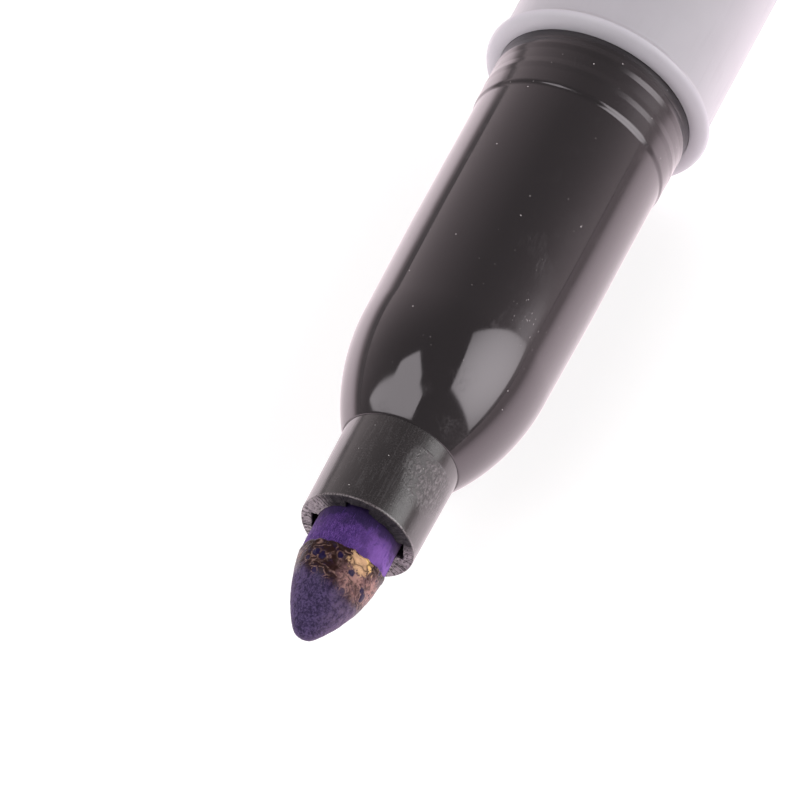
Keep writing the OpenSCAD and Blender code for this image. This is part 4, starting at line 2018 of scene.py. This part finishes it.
@dataclass(frozen=True)
class SoftBox(AreaLamp):
    """Soft studio lamp with straight sides, hung where the marker mirrors it.

    Its plane faces the marker. Places in the plane are shares of its distance, to the right and up from
    the point that it faces. Each flag is a direction in the plane and how far the light reaches along it,
    and a notch is dark past both of its flags.
    The fade is the share of its light that is lost at the middle of each side. A lamp that isn't mirrored
    only fills the shade.
    """

    name: str
    towards: Triple
    wide: Triple
    right: Span
    high: Span
    level: float
    flags: tuple[Triple, ...] = ()
    notches: tuple[tuple[Triple, Triple], ...] = ()
    fade: float = 0.0
    mirrored: bool = True
    distance: float = 0.5
    soft_edge: float = 0.03

    def build(self, target: Vector) -> None:
        """Hangs the lamp in front of the target.

        Args:
            target: The point that the lamp's plane faces.
        """
        back = Vector(self.towards).normalized()
        side = Vector(self.wide)
        side = (side - side.dot(back) * back).normalized()
        up = back.cross(side)
        place = target + self.distance * (back + sum(self.right) / 2 * side + sum(self.high) / 2 * up)
        size = (extent(self.right) * self.distance, extent(self.high) * self.distance)
        self.hang(size, facing(place, side, up)).visible_glossy = self.mirrored

    def light(self, across: Signal, along: Signal) -> Signal:
        """Fades the light towards the sides, and ends it at each of the flags.

        Args:
            across: Share of the lamp's width.
            along: Share of its height.

        Returns:
            The light, as a share of the level.
        """
        right = self.right[0] + across * extent(self.right)
        high = self.high[0] + along * extent(self.high)
        off_right, off_high = 2.0 * across - 1.0, 2.0 * along - 1.0
        light = 1.0 - self.fade * (off_right * off_right + off_high * off_high)

        def beyond(flag: Triple, soft: float) -> Signal:
            """Gives 1 past a flag and 0 before it, with a soft edge."""
            return (right * flag[0] + high * flag[1]).ramp(flag[2], flag[2] + soft)

        for flag in self.flags:
            light = light * (1.0 - beyond(flag, self.soft_edge))
        for first, second in self.notches:
            light = light * (1.0 - beyond(first, 2 * self.soft_edge) * beyond(second, 2 * self.soft_edge))
        return light


@dataclass(frozen=True)
class GlowStrip(AreaLamp):
    """Strip of the table beside the marker that is lit from below.

    Its start, peak and end are distances to the marker's +Y side. Its light rises from both sides to the
    peak, and fades over a share of its length at both ends.
    """

    name: str
    start: float
    peak: float
    end: float
    level: float
    tint: Colour = (1.0, 0.88, 0.935)
    half_length: float = 110.0
    fading: float = 0.3
    height: float = 0.25

    def build(self, target: Vector) -> None:
        """Lays the strip beside the target.

        Args:
            target: The point that the strip's middle lies beside.
        """
        size = (2 * self.half_length * MM, (self.end - self.start) * MM)
        place = Vector((target.x, target.y + (self.start + self.end) / 2 * MM, self.height * MM))
        self.hang(size, Matrix.Translation(place) @ Matrix.Rotation(math.pi, 4, "X"), self.tint)

    def light(self, across: Signal, along: Signal) -> Signal:
        """Raises the light to the peak and fades it at the ends.

        Args:
            across: Share of the strip's length.
            along: Share of its width, from its end to its start.

        Returns:
            The light, as a share of the level.
        """
        aside = self.end - (self.end - self.start) * along
        light = aside.ramp(self.start, self.peak) * aside.ramp(self.end, self.peak)
        return light * across.ramp(0.0, self.fading) * across.ramp(1.0, 1.0 - self.fading)


@dataclass(frozen=True)
class Studio:
    """Plain white floor, soft boxes and an even surround."""

    lit_back: float = 4.0
    zenith: float = 0.19
    horizon: float = 0.95
    fall: float = 1.5
    tint: Colour = (1.0, 0.87, 0.89)
    front_share: float = 0.2
    behind_from: Span = (0.3, -0.6)
    left_sky: float = 0.15
    left_from: Span = (0.0, -0.7)
    left_behind: Span = (-0.1, -0.55)
    floor_half: float = 3.0
    floor_white: Colour = (0.62, 0.62, 0.62)
    floor_warm: Colour = (0.55, 0.46, 0.48)
    floor_dim: Colour = (0.25, 0.21, 0.22)
    dim_from: Span = (-80.0, -46.0)
    floor_lift: float = 0.60
    mirror_lift: float = 0.23
    floor_drop: float = 0.00002
    lamps: tuple[AreaLamp, ...] = (
        SoftBox("left_box", towards=(0.203, -0.609, 0.767), wide=(0.183, 0.793, 0.581),
                right=(-0.72, 0.84), high=(-0.29, 0.32), level=2.4,
                flags=((-0.414, 0.910, 0.172), (0.491, 0.871, 0.385),
                       (-0.068, -0.998, 0.211), (-0.320, -0.947, 0.316)),
                notches=(((-0.95, 0.31, 0.075), (-0.221, 0.975, 0.064)),
                         ((0.903, 0.431, 0.535), (0.301, 0.953, 0.222)))),
        SoftBox("right_box", towards=(-0.263, 0.807, 0.528), wide=(0.1995, -0.4895, 0.8477),
                right=(-0.515, 0.605), high=(-0.275, 0.60), level=3.75,
                flags=((0.243, 0.970, 0.446),), fade=0.33),
        SoftBox("front_fill", towards=(0.60, -0.70, 0.38), wide=(0.76, 0.65, 0.0),
                right=(-0.6, 0.6), high=(-0.35, 0.35), level=2.1, mirrored=False),
        GlowStrip("right_glow", start=-6.0, peak=12.0, end=54.0, level=1.4),
        GlowStrip("left_glow", start=-52.0, peak=-21.0, end=12.0, level=1.4),
    )

    def build(self) -> None:
        """Sets up the floor, the lamps round the dome and the world."""
        self.floor()
        dome = AXIS.at(AXIS.reach("front_section")[1] - self.lit_back)
        for lamp in self.lamps:
            lamp.build(dome)
        self.surround()

    def surround(self) -> None:
        """Makes the world brighter towards the horizon behind the marker, and white where it is seen."""
        world = bpy.data.worlds.new("surround")
        graph = Graph.start(world)
        ahead, right, height = graph.split(graph.add("ShaderNodeTexCoord", {}, {}, "Generated"))
        behind = self.front_share + (1.0 - self.front_share) * ahead.ramp(*self.behind_from)
        rising = graph.math("POWER", 1.0 - height.clamp(), self.fall)
        level = self.zenith + (self.horizon - self.zenith) * rising * behind
        level = level + self.left_sky * right.ramp(*self.left_from) * ahead.ramp(*self.left_behind)
        seen = graph.add("ShaderNodeLightPath", {}, {}, "Is Camera Ray")
        glow = graph.add("ShaderNodeBackground", {}, {
            "Color": graph.mix(seen, self.tint, WHITE),
            "Strength": level + seen * (1.0 - level)})
        graph.close("ShaderNodeOutputWorld", glow)
        bpy.context.scene.world = world

    def floor(self) -> None:
        """Lays the floor, lifted to white where it is seen directly or in a reflection."""
        half = self.floor_half
        sides = ((-half, -half), (half, -half), (half, half), (-half, half))
        obj = make_object("floor", np.array([(x, y, -self.floor_drop) for x, y in sides]), [(0, 1, 2, 3)])
        material = bpy.data.materials.new("white_floor")
        graph = Graph.start(material)
        seen = graph.add("ShaderNodeLightPath", {}, {}, "Is Camera Ray")
        mirrored, through = seen.other("Is Glossy Ray"), seen.other("Is Transmission Ray")
        aside = graph.split(graph.pen_point())[1]
        warm = graph.mix(aside.ramp(*self.dim_from), self.floor_dim, self.floor_warm)
        paint = graph.add("ShaderNodeBsdfDiffuse", {}, {"Color": graph.mix(mirrored, self.floor_white, warm)})
        lift = (seen + through + mirrored * self.mirror_lift).clamp() * self.floor_lift
        glow = graph.add("ShaderNodeEmission", {}, {"Strength": lift})
        both = graph.add("ShaderNodeAddShader", {}, {"Shader": paint, "Shader_001": glow})
        graph.close("ShaderNodeOutputMaterial", both)
        obj.data.materials.append(material)


def dress_bare_nodes() -> None:
    """Gives the inner nodes that keep their solids a finish of their own."""
    for node, finish in BARE_NODES.items():
        for slot in frame["nodes"][node].material_slots:
            slot.material = finish.material()
        log.info("%s keeps its solid, in %s", node, finish.name)


def main() -> None:
    """Builds the marker's pieces in order, then the studio and the camera."""
    logging.basicConfig(level=logging.INFO, format="%(name)s: %(message)s")
    for group in (Barrel(), FrontSection(), NibCollar(), Nib(), Cap(), PocketClip()):
        for piece in group.build():
            piece.seat()
    dress_bare_nodes()
    Studio().build()
    PhotoCamera().build()
    bpy.context.scene.view_settings.view_transform = "Standard"


if __name__ == "__main__":
    main()
